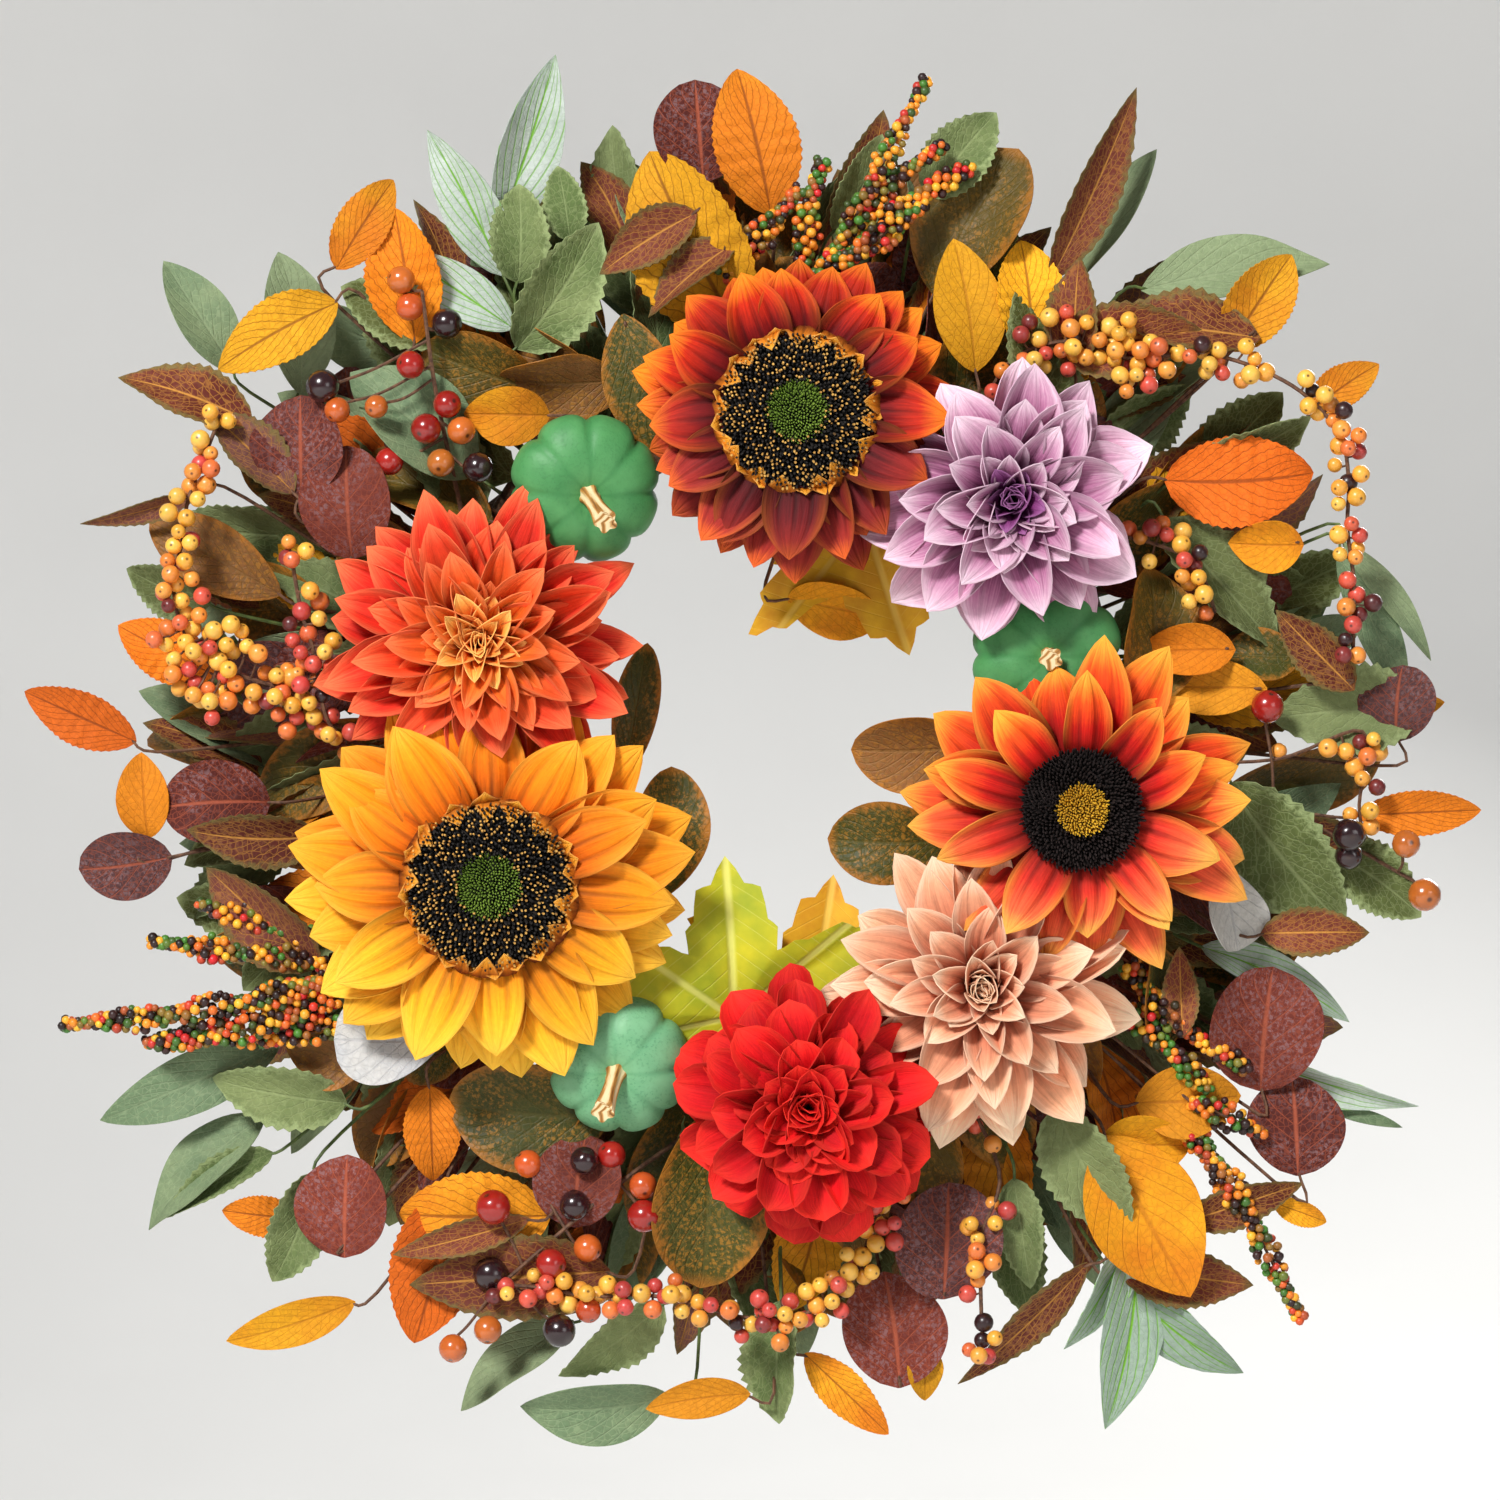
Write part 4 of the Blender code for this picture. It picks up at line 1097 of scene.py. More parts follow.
for name in FLOWERS:
    print(name, [round(value * 1000) for value in flower_middle(name)])

# %% [markdown]
# ## Sunflowers
# Three sunflowers share one build: a back ring and a front ring of long petals, a shorter inner ring, and the
# seed face. A row is one ring: how many petals, where they start, their length and width, their angles at foot
# and tip, their cup, and their height.

# %% Sunflower petals
SUNFLOWER_RINGS = {
    "rust_sunflower": (
        (14, 18, 48, 24, 6, -20, 0.18, 0.0), (14, 17, 46, 24, 18, -14, 0.20, 3.0),
        (12, 20, 41, 25, 30, -10, 0.20, 6.5),
    ),
    "yellow_sunflower": (
        (15, 18, 63, 31, 4, -16, 0.12, 0.0), (15, 18, 60, 31, 12, -14, 0.14, 3.0),
        (12, 20, 53, 29, 22, -12, 0.16, 6.0),
    ),
    "coral_sunflower": (
        (12, 14, 57, 25, 4, -18, 0.10, 0.0), (12, 14, 52, 24, 18, -14, 0.14, 3.5),
        (10, 15, 42, 22, 34, -8, 0.16, 7.0),
    ),
}
for name, rings in SUNFLOWER_RINGS.items():
    centre = flower_middle(name)
    wander = 1.7 if name == "coral_sunflower" else 1.0
    layers = [
        petal_ring(BROAD_PETAL, centre, *ring, first=180.0 / ring[0] * level, level=level / 2, wander=wander)
        for level, ring in enumerate(rings)
    ]
    cloth = PETAL_CLOTH[name]
    slot = name.split("_")[0] + "_petals"
    gather(f"{name}_back_petals", layers[0] + layers[1], cloth, (f"{name}_outer_petals",), PETAL_THICKNESS)
    gather(f"{name}_front_petals", layers[2], cloth, (f"{name}_inner_petals",), PETAL_THICKNESS)

# %% [markdown]
# ## Seed faces
# A sunflower sets its florets on a spiral: each is turned 137.5 degrees from the last, and its reach grows with
# the square root of its number, so that they fill the face evenly. Dark florets with gold tips make the outer
# part, a dome of fine green fibres the middle, and a ruff of small amber bracts folds in over the rim. The coral
# flower has a velvet face with a yellow button.

# %% Model a floret and a fibre
def model_floret(sides, top, waist):
    deselect()
    bpy.ops.mesh.primitive_cone_add(vertices=sides, radius1=0.5, radius2=0.5, depth=1.0, end_fill_type="NOTHING")
    floret = bpy.context.object
    bpy.ops.object.mode_set(mode="EDIT")
    bpy.ops.transform.translate(value=(0.0, 0.0, 0.5))
    pick(lambda co: co.z > 0.9)
    bpy.ops.transform.resize(value=(waist, waist, 1.0), center_override=(0.0, 0.0, 1.0))
    bpy.ops.mesh.extrude_edges_move(TRANSFORM_OT_translate={"value": (0.0, 0.0, 0.25)})
    bpy.ops.transform.resize(value=(top, top, 1.0), center_override=(0.0, 0.0, 1.25))
    bpy.ops.mesh.edge_face_add()
    shape = Shape(floret)
    heights = np.array([shape.points[index][2] for face in shape.faces for index in face])
    shape.uv = np.column_stack((np.full(len(heights), 0.5), heights / 1.25))
    return shape


FLORET = model_floret(5, 0.9, 0.8)
FIBRE = model_floret(4, 0.25, 0.7)
print("floret faces:", len(FLORET.faces), "fibre faces:", len(FIBRE.faces))

# %% Lay a spiral, and the finishes of the seed faces
GOLDEN_TURN = 137.508
LEAN = 0.35  # how much the florets lean outwards at the rim


def spiral(count, radius, dome, centre, shape, width, tall, inner=0.0):
    """Florets on a spiral over a dome. The rim of the dome is at the centre's height."""
    copies = []
    for number in range(count):
        share = math.sqrt(inner**2 + (1.0 - inner**2) * (number + 0.5) / count)
        out = outward(number * GOLDEN_TURN)
        rise = dome * math.sqrt(max(0.0, 1.0 - share**2))
        foot = centre + out * share * radius * MM + FRONT * rise * MM
        axis = FRONT + out * (LEAN * share + spread(0.12)) + Vector((spread(0.12), 0.0, spread(0.12)))
        axis = axis.normalized()
        size = width * (1.0 + spread(0.15)) * MM
        points = shape.points * np.array((size, size, tall * (1.0 + spread(0.25)) * MM))
        placed = stand_up(points, foot, axis, Vector((0.3, 0.1, 0.9)))
        copies.append((shape, placed, (DRAW.random(), DRAW.random(), share)))
    return copies


def seed_finish(name, dark, tip, lit):
    """Dark florets, of which the lit share has light tips."""
    finish = Finish(name, Roughness=0.85)
    chosen = finish.chance.step(1.0 - lit - 0.02, 1.0 - lit + 0.02) * finish.along.step(0.66, 0.80)
    return finish.feed(chosen.mix(dark, finish.second.mix(tip, (164, 115, 49))))


def fuzz_finish(name, foot, tip):
    finish = Finish(name, Roughness=0.9)
    shade = (finish.along * 0.7 + finish.second * 0.3).clamped()
    return finish.feed(shade.mix(foot, tip))


SEEDS = seed_finish("seed_florets", (20, 14, 10), (214, 166, 84), 0.5)
GREEN_FUZZ = fuzz_finish("green_fuzz", (52, 80, 18), (142, 172, 60))
BLACK_VELVET = fuzz_finish("black_velvet", (10, 6, 6), (40, 22, 18))
YELLOW_FUZZ = fuzz_finish("yellow_fuzz", (156, 112, 12), (240, 194, 48))


def seed_pad(name, centre, radius, dome, material):
    """The pad under the florets: a closed, flattened ball with a level back."""
    back = -0.3 * dome * MM
    deselect()
    bpy.ops.mesh.primitive_uv_sphere_add(segments=48, ring_count=16, radius=1.0)
    pad = bpy.context.object
    pad.name = name
    bpy.ops.object.mode_set(mode="EDIT")
    pick(lambda co: True)
    bpy.ops.transform.resize(value=(radius * MM, radius * MM, dome * MM))
    pick(lambda co: co.z < back)
    bpy.ops.transform.resize(value=(1.0, 1.0, 0.0), center_override=(0.0, 0.0, back))
    bpy.ops.object.mode_set(mode="OBJECT")
    pad.data.transform(Matrix.Rotation(math.pi / 2, 4, "X"))
    pad.data.transform(Matrix.Translation(centre))
    pad.data.materials.append(material)
    smooth(pad)
    return pad


# %% Make the seed faces
SEED_FACE_HEIGHT = 13.0  # in front of the petals' middle
for name, disc, dome in (("rust_sunflower", 31.0, 5.0), ("yellow_sunflower", 33.0, 5.0)):
    centre = flower_middle(name) + FRONT * SEED_FACE_HEIGHT * MM
    pad = seed_pad(f"{name}_seed_pad", centre, disc, dome, SEEDS)
    attribute = pad.data.attributes.new("tone", "FLOAT_COLOR", "POINT")
    attribute.data.foreach_set("color", [0.0] * 4 * len(pad.data.vertices))
    hand_over(pad, (f"{name}_disc",))
    outer = spiral(1000, disc, dome, centre, FLORET, 1.3, 3.6, 0.36)
    gather(f"{name}_florets", outer, SEEDS)
    green = spiral(420, disc * 0.40, dome + 2.0, centre + FRONT * 1.5 * MM, FIBRE, 1.1, 3.0)
    gather(f"{name}_green_middle", green, GREEN_FUZZ)
    ruff = petal_ring(BRACT, centre, 17, disc + 4.5, 11.0, 13.0, 122, 158, 0.15, -1.0, level=1.0, wander=1.8)
    ruff += petal_ring(BRACT, centre, 17, disc + 1.0, 7.0, 12.0, 84, 40, 0.15, -2.0, level=1.0, wander=1.8)
    gather(f"{name}_ruff", ruff, AMBER_CLOTH, (), PETAL_THICKNESS)
centre = flower_middle("coral_sunflower") + FRONT * SEED_FACE_HEIGHT * MM
pad = seed_pad("coral_sunflower_seed_pad", centre, 24.0, 6.0, BLACK_VELVET)
hand_over(pad, ("coral_sunflower_disc",))
gather("coral_sunflower_velvet", spiral(900, 24.5, 6.0, centre, FIBRE, 1.3, 4.0), BLACK_VELVET)
button = spiral(360, 10.0, 3.5, centre + FRONT * 6.5 * MM, FIBRE, 1.1, 3.0)
gather("coral_sunflower_button", button, YELLOW_FUZZ)
print("seed faces:", sum("seed" in name for name in made_faces), "pads")

# %% [markdown]
# ## Dahlias and the mum
# A dahlia is a stack of petal rings: the outer ones are long and lie almost flat, and each ring further in is
# shorter and stands up more, until the last closes over the heart. The rows are those of the sunflowers' rings,
# first the outer petals and then the heart.

# %% Dahlia rings
DAHLIA_RINGS = {
    "purple_dahlia": (SCOOP_PETAL, (
        (10, 6, 54, 26, 12, -16, 0.30, 1), (10, 6, 49, 25, 24, -8, 0.32, 4), (9, 5, 42, 23, 38, 2, 0.34, 6),
        (9, 4, 33, 19, 52, 14, 0.38, 8), (8, 3, 25, 14, 64, 32, 0.42, 10),
    ), (
        (8, 3, 18, 10, 70, 50, 0.45, 12), (8, 2, 15, 8, 80, 70, 0.5, 13), (6, 1, 13, 7, 86, 84, 0.5, 14),
    )),
    "pink_dahlia": (SCOOP_PETAL, (
        (11, 7, 58, 23, 10, -18, 0.28, 0), (11, 7, 53, 23, 22, -10, 0.30, 3), (10, 6, 44, 20, 36, 0, 0.34, 5),
        (10, 5, 34, 17, 52, 12, 0.38, 8), (9, 4, 26, 14, 66, 34, 0.42, 10),
    ), (
        (8, 3, 18, 12, 76, 84, 0.45, 12), (8, 2, 16, 10, 84, 98, 0.5, 12), (6, 1, 14, 8, 88, 104, 0.5, 12),
    )),
    "orange_dahlia": (SCOOP_PETAL, (
        (15, 8, 57, 20, 10, -18, 0.36, 0), (15, 8, 53, 20, 20, -12, 0.38, 3), (14, 7, 46, 19, 32, -4, 0.40, 6),
        (14, 6, 38, 16, 46, 6, 0.44, 9), (12, 5, 30, 13, 58, 20, 0.46, 11),
    ), (
        (11, 4, 23, 11, 66, 34, 0.50, 13), (10, 2, 18, 9, 76, 54, 0.55, 14), (8, 1, 15, 7, 84, 76, 0.55, 15),
    )),
    "red_mum": (SPOON_PETAL, (
        (13, 6, 50, 22, 10, -28, 0.22, 1), (13, 6, 46, 22, 26, -20, 0.24, 4), (12, 5, 40, 21, 42, -12, 0.26, 7),
        (11, 4, 32, 19, 56, 0, 0.30, 10),
    ), (
        (10, 3, 25, 16, 68, 16, 0.34, 12), (9, 2, 20, 14, 78, 40, 0.38, 13), (7, 1, 16, 12, 86, 70, 0.4, 14),
    )),
}
for name, (shape, outer_rings, heart_rings) in DAHLIA_RINGS.items():
    centre = flower_middle(name)
    slot = name.split("_")[0] + "_petals"
    for part, rings, cloth, thickness in (
        ("outer_petals", outer_rings, PETAL_CLOTH[name], PETAL_THICKNESS),
        ("heart", heart_rings, HEART_CLOTH.get(name, PETAL_CLOTH[name]), HEART_THICKNESS),
    ):
        copies = []
        for level, ring in enumerate(rings):
            copies += petal_ring(shape, centre, *ring, level=level / len(rings), wander=1.3)
        gather(f"{name}_{part}_cloth", copies, cloth, (f"{name}_{part}",), thickness)
print("dahlia faces:", {name: made_faces[f"{name}_heart_cloth"] for name in DAHLIA_RINGS})

# %% [markdown]
# ## Pumpkins
# The little pumpkins are painted foam. Each starts as a ball, its ribs are pulled in along eight meridians, its
# two poles are pushed in, and it is laid on its back so that the stem looks at the viewer. The stem is a twisted
# five-sided stalk that flares where it meets the fruit.

# %% Pumpkin finishes
def pumpkin_skin(name, light, deep, speckle, speckle_show):
    finish = Finish(name, Roughness=0.5, Specular_IOR_Level=0.4)
    fine = finish.place.noise(900.0, 3.0)
    broad = finish.place.noise(70.0, 3.0)
    spots = finish.place.noise(900.0, 2.0).step(0.54, 0.62) * (broad * 2.4 - 0.8).clamped()
    # Painted shade: the skin darkens towards the deep colour along the lines of the creases between the ribs.
    rib = (finish.across * 8.0).math("PINGPONG", finish.across * 8.0, 0.5).step(0.0, 0.22)
    colour = (broad * 1.6 - 0.4).clamped().mix(light, deep)
    colour = ((1.0 - rib) * 0.45).mix(colour, deep)
    colour = (spots * speckle_show).mix(colour, speckle)
    return finish.feed(colour, fine * 0.6 + spots * 0.3, 0.35, 0.0004)


def painted_stalk():
    finish = Finish("painted_stalk", Roughness=0.5)
    grain = finish.streaks(26.0, 3.0)
    turn = finish.across * 5.0 + finish.along * 0.35
    ridge = turn.math("PINGPONG", turn, 0.5) * 2.0
    colour = (ridge * 0.55 + grain * 0.6 - 0.05).ramp(
        (0.20, 104, 62, 22), (0.42, 188, 132, 58), (0.62, 236, 214, 166),
    )
    return finish.feed(colour, grain + ridge, 0.4, 0.0004)


STALK = painted_stalk()


# %% Make the pumpkins
def make_pumpkin(name, lean, skin, stalk_bend, forward, ribs=8):
    low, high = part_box(f"{name}_body")
    centre = (low + high) / 2 + FRONT * forward * MM
    radius = (high.x - low.x) / 2 * 1.06
    half_depth = (high.y - low.y) / 2
    deselect()
    bpy.ops.mesh.primitive_uv_sphere_add(segments=96, ring_count=40, radius=1.0)
    body = bpy.context.object
    body.name = f"{name}_fruit"
    for vertex in body.data.vertices:
        around = math.atan2(vertex.co.y, vertex.co.x)
        flat = math.hypot(vertex.co.x, vertex.co.y)
        crease = (1.0 - abs(math.sin(around * ribs / 2))) ** 2.0
        rib = 1.0 - 0.10 * crease * min(1.0, flat * 2.0)
        dimple = 0.30 * max(0.0, 1.0 - flat / 0.6) ** 2
        rise = math.copysign(max(abs(vertex.co.z) ** 0.85 - dimple, 0.0), vertex.co.z)
        vertex.co = Vector((vertex.co.x * rib * radius, vertex.co.y * rib * radius, rise * half_depth))
    tilt = Matrix.Rotation(math.radians(lean[0]), 4, "Z") @ Matrix.Rotation(math.radians(lean[1]), 4, "X")
    place = Matrix.Translation(centre) @ tilt @ Matrix.Rotation(math.pi / 2, 4, "X")
    body.data.transform(place)
    body.data.materials.append(skin)
    smooth(body, 80)
    hand_over(body, (f"{name}_body",))
    deselect()
    bpy.ops.mesh.primitive_grid_add(x_subdivisions=30, y_subdivisions=14, size=1.0)
    stalk = bpy.context.object
    stalk.name = f"{name}_stalk"
    for vertex in stalk.data.vertices:
        share = vertex.co.y + 0.5
        around = math.tau * (vertex.co.x + 0.5)
        radius = 3.0 + 3.4 * (1.0 - share) ** 5 + 1.5 * share**5
        radius *= 1.0 + 0.16 * math.cos(5.0 * around + 2.2 * share)
        vertex.co = place @ Vector((
            (radius * math.cos(around) + stalk_bend[0] * share**2) * MM,
            (radius * math.sin(around) + stalk_bend[1] * share**2) * MM,
            half_depth * 0.60 + stalk_bend[2] * share * MM,
        ))
    bpy.ops.object.mode_set(mode="EDIT")
    pick(lambda co: True)
    bpy.ops.mesh.remove_doubles(threshold=0.01 * MM)
    bpy.ops.mesh.fill_holes(sides=0)
    bpy.ops.mesh.normals_make_consistent(inside=False)
    bpy.ops.object.mode_set(mode="OBJECT")
    stalk.data.materials.append(STALK)
    smooth(stalk)
    hand_over(stalk, (f"{name}_stem",))


MINT = pumpkin_skin("mint_skin", (128, 186, 138), (90, 154, 108), (58, 114, 76), 0.6)
GREEN_SKIN = pumpkin_skin("green_skin", (90, 158, 94), (54, 124, 66), (42, 98, 52), 0.3)
make_pumpkin("pumpkin_left", (10.0, 14.0), GREEN_SKIN, (5.0, -8.0, 19.0), 17.0)
make_pumpkin("pumpkin_right", (0.0, 4.0), GREEN_SKIN, (0.5, -0.5, 11.0), 20.0)
make_pumpkin("pumpkin_bottom", (-4.0, 14.0), MINT, (-4.0, -11.0, 20.0), 14.0)
print("pumpkins made")

# %% [markdown]
# ## Berries
# The berries are moulded balls with a dimple and a dark eye where the flower fell off. One ball is modelled, and
# copies are coloured by their tone: the first number picks the colour along a strip from yellow through orange
# and red to black.

# %% Model a berry and a bead
def model_berry(segments, rings, dimple):
    deselect()
    bpy.ops.mesh.primitive_uv_sphere_add(segments=segments, ring_count=rings, radius=1.0)
    berry = bpy.context.object
    bpy.ops.object.mode_set(mode="EDIT")
    pick(lambda co: co.z > 0.99)
    bpy.ops.transform.translate(value=(0.0, 0.0, -dimple))
    return Shape(berry)


BERRY = model_berry(14, 9, 0.14)
BEAD = model_berry(8, 5, 0.0)
print("berry faces:", len(BERRY.faces), "bead faces:", len(BEAD.faces))

# %% Skins, and setting a berry
def berry_skin(name, strip, roughness, coat, eye=True):
    """The strip's colours run from a berry whose first tone is 0 to one whose first tone is 1."""
    finish = Finish(name, Roughness=roughness, Coat_Weight=coat, Coat_Roughness=0.2)
    colour = finish.chance.ramp(*strip)
    blush = finish.place.noise(160.0, 2.0)
    shade = blush * 0.5 + 0.72 + (finish.second - 0.5) * 0.2
    colour = colour.shaded(shade)
    if eye:
        colour = (finish.along.step(0.92, 0.98) * 0.85).mix(colour, (52, 28, 18))
    fine = finish.place.noise(700.0, 3.0)
    return finish.feed(colour, fine, 0.15, 0.0003)


SMALL_SKIN = berry_skin("small_berry_skin", (
    (0.0, 246, 194, 84), (0.34, 242, 176, 60), (0.50, 238, 156, 64), (0.62, 232, 132, 50),
    (0.74, 214, 84, 62), (0.88, 206, 72, 66), (0.95, 44, 20, 22), (1.0, 44, 20, 22),
), 0.38, 0.25)
LARGE_SKIN = berry_skin("large_berry_skin", (
    (0.0, 196, 110, 40), (0.25, 214, 96, 36), (0.45, 168, 34, 26), (0.65, 150, 26, 20),
    (0.80, 44, 20, 22), (1.0, 40, 16, 20),
), 0.22, 0.6)
SEED_SKIN = berry_skin("seed_head_skin", (
    (0.0, 250, 190, 50), (0.24, 244, 138, 34), (0.36, 214, 30, 40), (0.60, 72, 132, 44),
    (0.82, 56, 26, 24), (1.0, 30, 16, 14),
), 0.45, 0.1, eye=False)


def set_berry(shape, centre, radius, axis, tone):
    return shape, stand_up(shape.points * radius * MM, centre, axis, Vector((0.21, 0.35, 0.91))), tone


# %% [markdown]
# ## Large berries
# Each large berry hangs on a twig of its own, which runs back to the sprig's main twig. A sprig is the root,
# middle and end of that twig, each a clock, a reach and a height, and then its berries. A berry is its clock,
# reach, radius in millimetres, and its place on the colour strip.

# %% Set the large berries
LARGE_BERRIES = {
    "berry_sprig_top_left": ((307, 158, 46), (317, 200, 62), (323, 236, 66), (
        (322, 245, 6, .1), (321, 234, 6, .3), (323, 219, 6.5, .9), (317, 215, 6, .5), (317, 193, 6, .55),
        (313, 192, 6.5, .6), (316, 181, 6, .1), (314, 165, 6.5, .9), (311, 213, 5, .1), (307, 195, 6, .5),
        (309, 236, 7, .95), (308, 225, 5.5, .2), (311, 178, 6, .0),
    )),
    "berry_sprig_bottom": ((188, 160, 46), (199, 200, 62), (206, 255, 64), (
        (210, 224, 7.5, .55), (209, 202, 6, .3), (203, 190, 6, .95), (200, 184, 6, .5), (195, 192, 6, .3),
        (202, 209, 6.5, .95), (194, 204, 7, .55), (199, 224, 6, .2), (202, 235, 6.5, .5), (207, 250, 7.5, .98),
        (197, 248, 5.5, .35), (199, 260, 7, .95), (205, 271, 6, .1), (207, 284, 6, .15),
    )),
    "berry_sprig_right": ((95, 158, 46), (98, 225, 50), (102, 280, 50), (
        (86, 212, 7, .55), (99, 248, 7, .95), (101, 250, 6, .9), (99, 272, 6, .05), (103, 284, 7, .05),
    )),
}
LARGE_BERRY_HEIGHT = 66.0


def stands_for(name):
    """The CAD piece of this name, which a new piece replaces. Some sprigs and vines have none."""
    return (name,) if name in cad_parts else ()


def berry_sprig(name, root, middle, end, berries):
    spine = smooth_route((on_ring(*root), on_ring(*middle), on_ring(*end)), 8)
    routes = [(spine, [1.1 - 0.05 * index / 3 for index in range(len(spine))])]
    copies = []
    for clock, reach, radius, colour in berries:
        centre = on_ring(clock, reach, LARGE_BERRY_HEIGHT + spread(5.0))
        far = (centre - spine[0]).length
        start = min(spine, key=lambda point: (point - centre).length + 0.3 * abs((point - spine[0]).length - far))
        away = (centre - start).normalized()
        axis = (away + FRONT * 0.5 + Vector((spread(0.4), 0.0, spread(0.4)))).normalized()
        copies.append(set_berry(BERRY, centre, radius, axis, (colour, DRAW.random(), 0.0)))
        bow = start.lerp(centre, 0.5) + Vector((spread(2.0), 2.0, -2.0)) * MM
        points = smooth_route((start, bow, centre - axis * radius * 0.8 * MM), 5)
        routes.append((points, [0.7] * len(points)))
    twigs(f"{name}_twigs", routes, TWIG)
    gather(f"{name}_berries", copies, LARGE_SKIN, stands_for(name))


for name, sprig in LARGE_BERRIES.items():
    berry_sprig(name, *sprig)
print("large berries:", sum(len(sprig[-1]) for sprig in LARGE_BERRIES.values()))

# %% [markdown]
# ## Small berries
# The small berries sit close along curling vines. Each vine is a route, and a row is one stop on it: its clock,
# reach and height, how wide the cluster is there and how many berries a full one would hold.

# %% Set the small berries
BERRY_VINES = {
    "berry_vine_left": (
        (270, 158, 40, 0, 0), (273, 185, 60, 8, 8), (276, 198, 66, 14, 14), (277, 215, 68, 16, 16),
        (278, 232, 70, 18, 22), (281, 246, 70, 15, 18), (285, 254, 70, 10, 10), (289, 256, 68, 7, 7),
        (293, 260, 68, 6, 7), (298, 262, 66, 6, 7), (301, 264, 66, 4, 4),
    ),
    "berry_vine_left_inner": (
        (268, 158, 40, 0, 0), (272, 180, 66, 6, 5), (281, 190, 70, 10, 9), (286, 200, 70, 10, 10),
        (292, 212, 70, 6, 5),
    ),
    "berry_vine_right": (
        (34, 158, 40, 0, 0), (33, 188, 60, 6, 4), (36, 206, 66, 12, 12), (40, 216, 68, 15, 20),
        (44, 222, 70, 13, 15), (48, 242, 70, 10, 12), (52, 256, 70, 8, 9), (57, 268, 70, 6, 7),
        (62, 273, 68, 6, 7), (66, 268, 68, 6, 7), (70, 260, 68, 6, 7), (75, 256, 66, 6, 7), (81, 250, 66, 6, 6),
    ),
    "berry_vine_right_inner": (
        (58, 158, 40, 0, 0), (60, 172, 62, 6, 4), (64, 186, 66, 9, 9), (68, 196, 68, 8, 9), (74, 197, 66, 5, 4),
    ),
    "berry_vine_right_low": (
        (93, 160, 40, 0, 0), (92, 215, 52, 5, 3), (89, 252, 56, 8, 8), (96, 252, 56, 7, 6), (99, 256, 54, 5, 4),
    ),
    "berry_vine_bottom": (
        (160, 158, 40, 0, 0), (163, 195, 60, 6, 6), (167, 206, 66, 9, 10), (169, 220, 66, 9, 10),
        (172, 234, 68, 10, 12), (177, 240, 70, 8, 10), (182, 240, 70, 7, 9), (187, 236, 70, 6, 9),
        (192, 236, 68, 6, 9), (197, 242, 68, 6, 8), (202, 246, 66, 6, 7), (206, 252, 66, 5, 5),
    ),
    "berry_vine_bottom_right": (
        (150, 158, 40, 0, 0), (151, 205, 56, 6, 4), (156, 226, 62, 7, 7), (158, 244, 64, 7, 7),
        (160, 270, 62, 7, 7),
    ),
}
VINE_STOP_STEPS = 6  # points on the vine from one stop to the next
FULLNESS = 0.8  # the share of a full cluster's berries that is set


def push_apart(places, radii, rounds=40):
    """Moves balls that run into each other apart, a little each round, as a hand would."""
    need = (radii[:, None] + radii[None, :]) * MM
    for _ in range(rounds):
        gap = places[:, None] - places[None, :]
        far = np.linalg.norm(gap, axis=2)
        np.fill_diagonal(far, 1.0)
        push = np.clip(need - far, 0.0, None) * 0.3
        places = places + (gap / far[:, :, None] * push[:, :, None]).sum(axis=1)
    return places


def cluster_places(spine, stops):
    """A place for each berry, drawn at random near its stop."""
    places = []
    for number, (_, _, _, wide, count) in enumerate(stops):
        for _ in range(round(count * FULLNESS)):
            at = min(max(number + spread(0.55), 0.2), len(stops) - 1) * VINE_STOP_STEPS
            heart = spine[min(int(at), len(spine) - 1)]
            around = DRAW.uniform(0.0, math.tau)
            far = wide * math.sqrt(DRAW.random())
            away = Vector((far * math.cos(around), -2.0 - spread(4.0), far * math.sin(around)))
            places.append(heart + away * MM)
    return np.array(places)


for name, stops in BERRY_VINES.items():
    spine = smooth_route([on_ring(clock, reach, height) for clock, reach, height, _, _ in stops], VINE_STOP_STEPS)
    routes = [(spine, [0.85] * len(spine))]
    places = cluster_places(spine, stops)
    radii = np.array([DRAW.uniform(3.1, 4.2) for _ in places])
    copies = []
    for place, radius in zip(push_apart(places, radii), radii):
        centre = Vector(place)
        start = min(spine, key=lambda point: (point - centre).length)
        away = (centre - start).normalized()
        axis = (away + FRONT * 0.3 + Vector((spread(0.5), 0.0, spread(0.5)))).normalized()
        copies.append(set_berry(BERRY, centre, radius, axis, (DRAW.random() * 0.98, DRAW.random(), 0.0)))
        points = [start, start.lerp(centre, 0.5) + Vector((0.0, 1.2 * MM, -0.8 * MM)), centre]
        routes.append((points, [0.5] * 3))
    twigs(f"{name}_twigs", routes, TWIG)
    gather(f"{name}_berries", copies, SMALL_SKIN, stands_for(name))
    print(name, len(copies), "berries")

# %% [markdown]
# ## Seed heads
# Millet hangs in long heads of tiny beads. The beads are laid on a spiral around a curved spine, close enough to
# touch, and the head tapers to its tip. A row is one head: its root, middle and tip, and how thick it is.

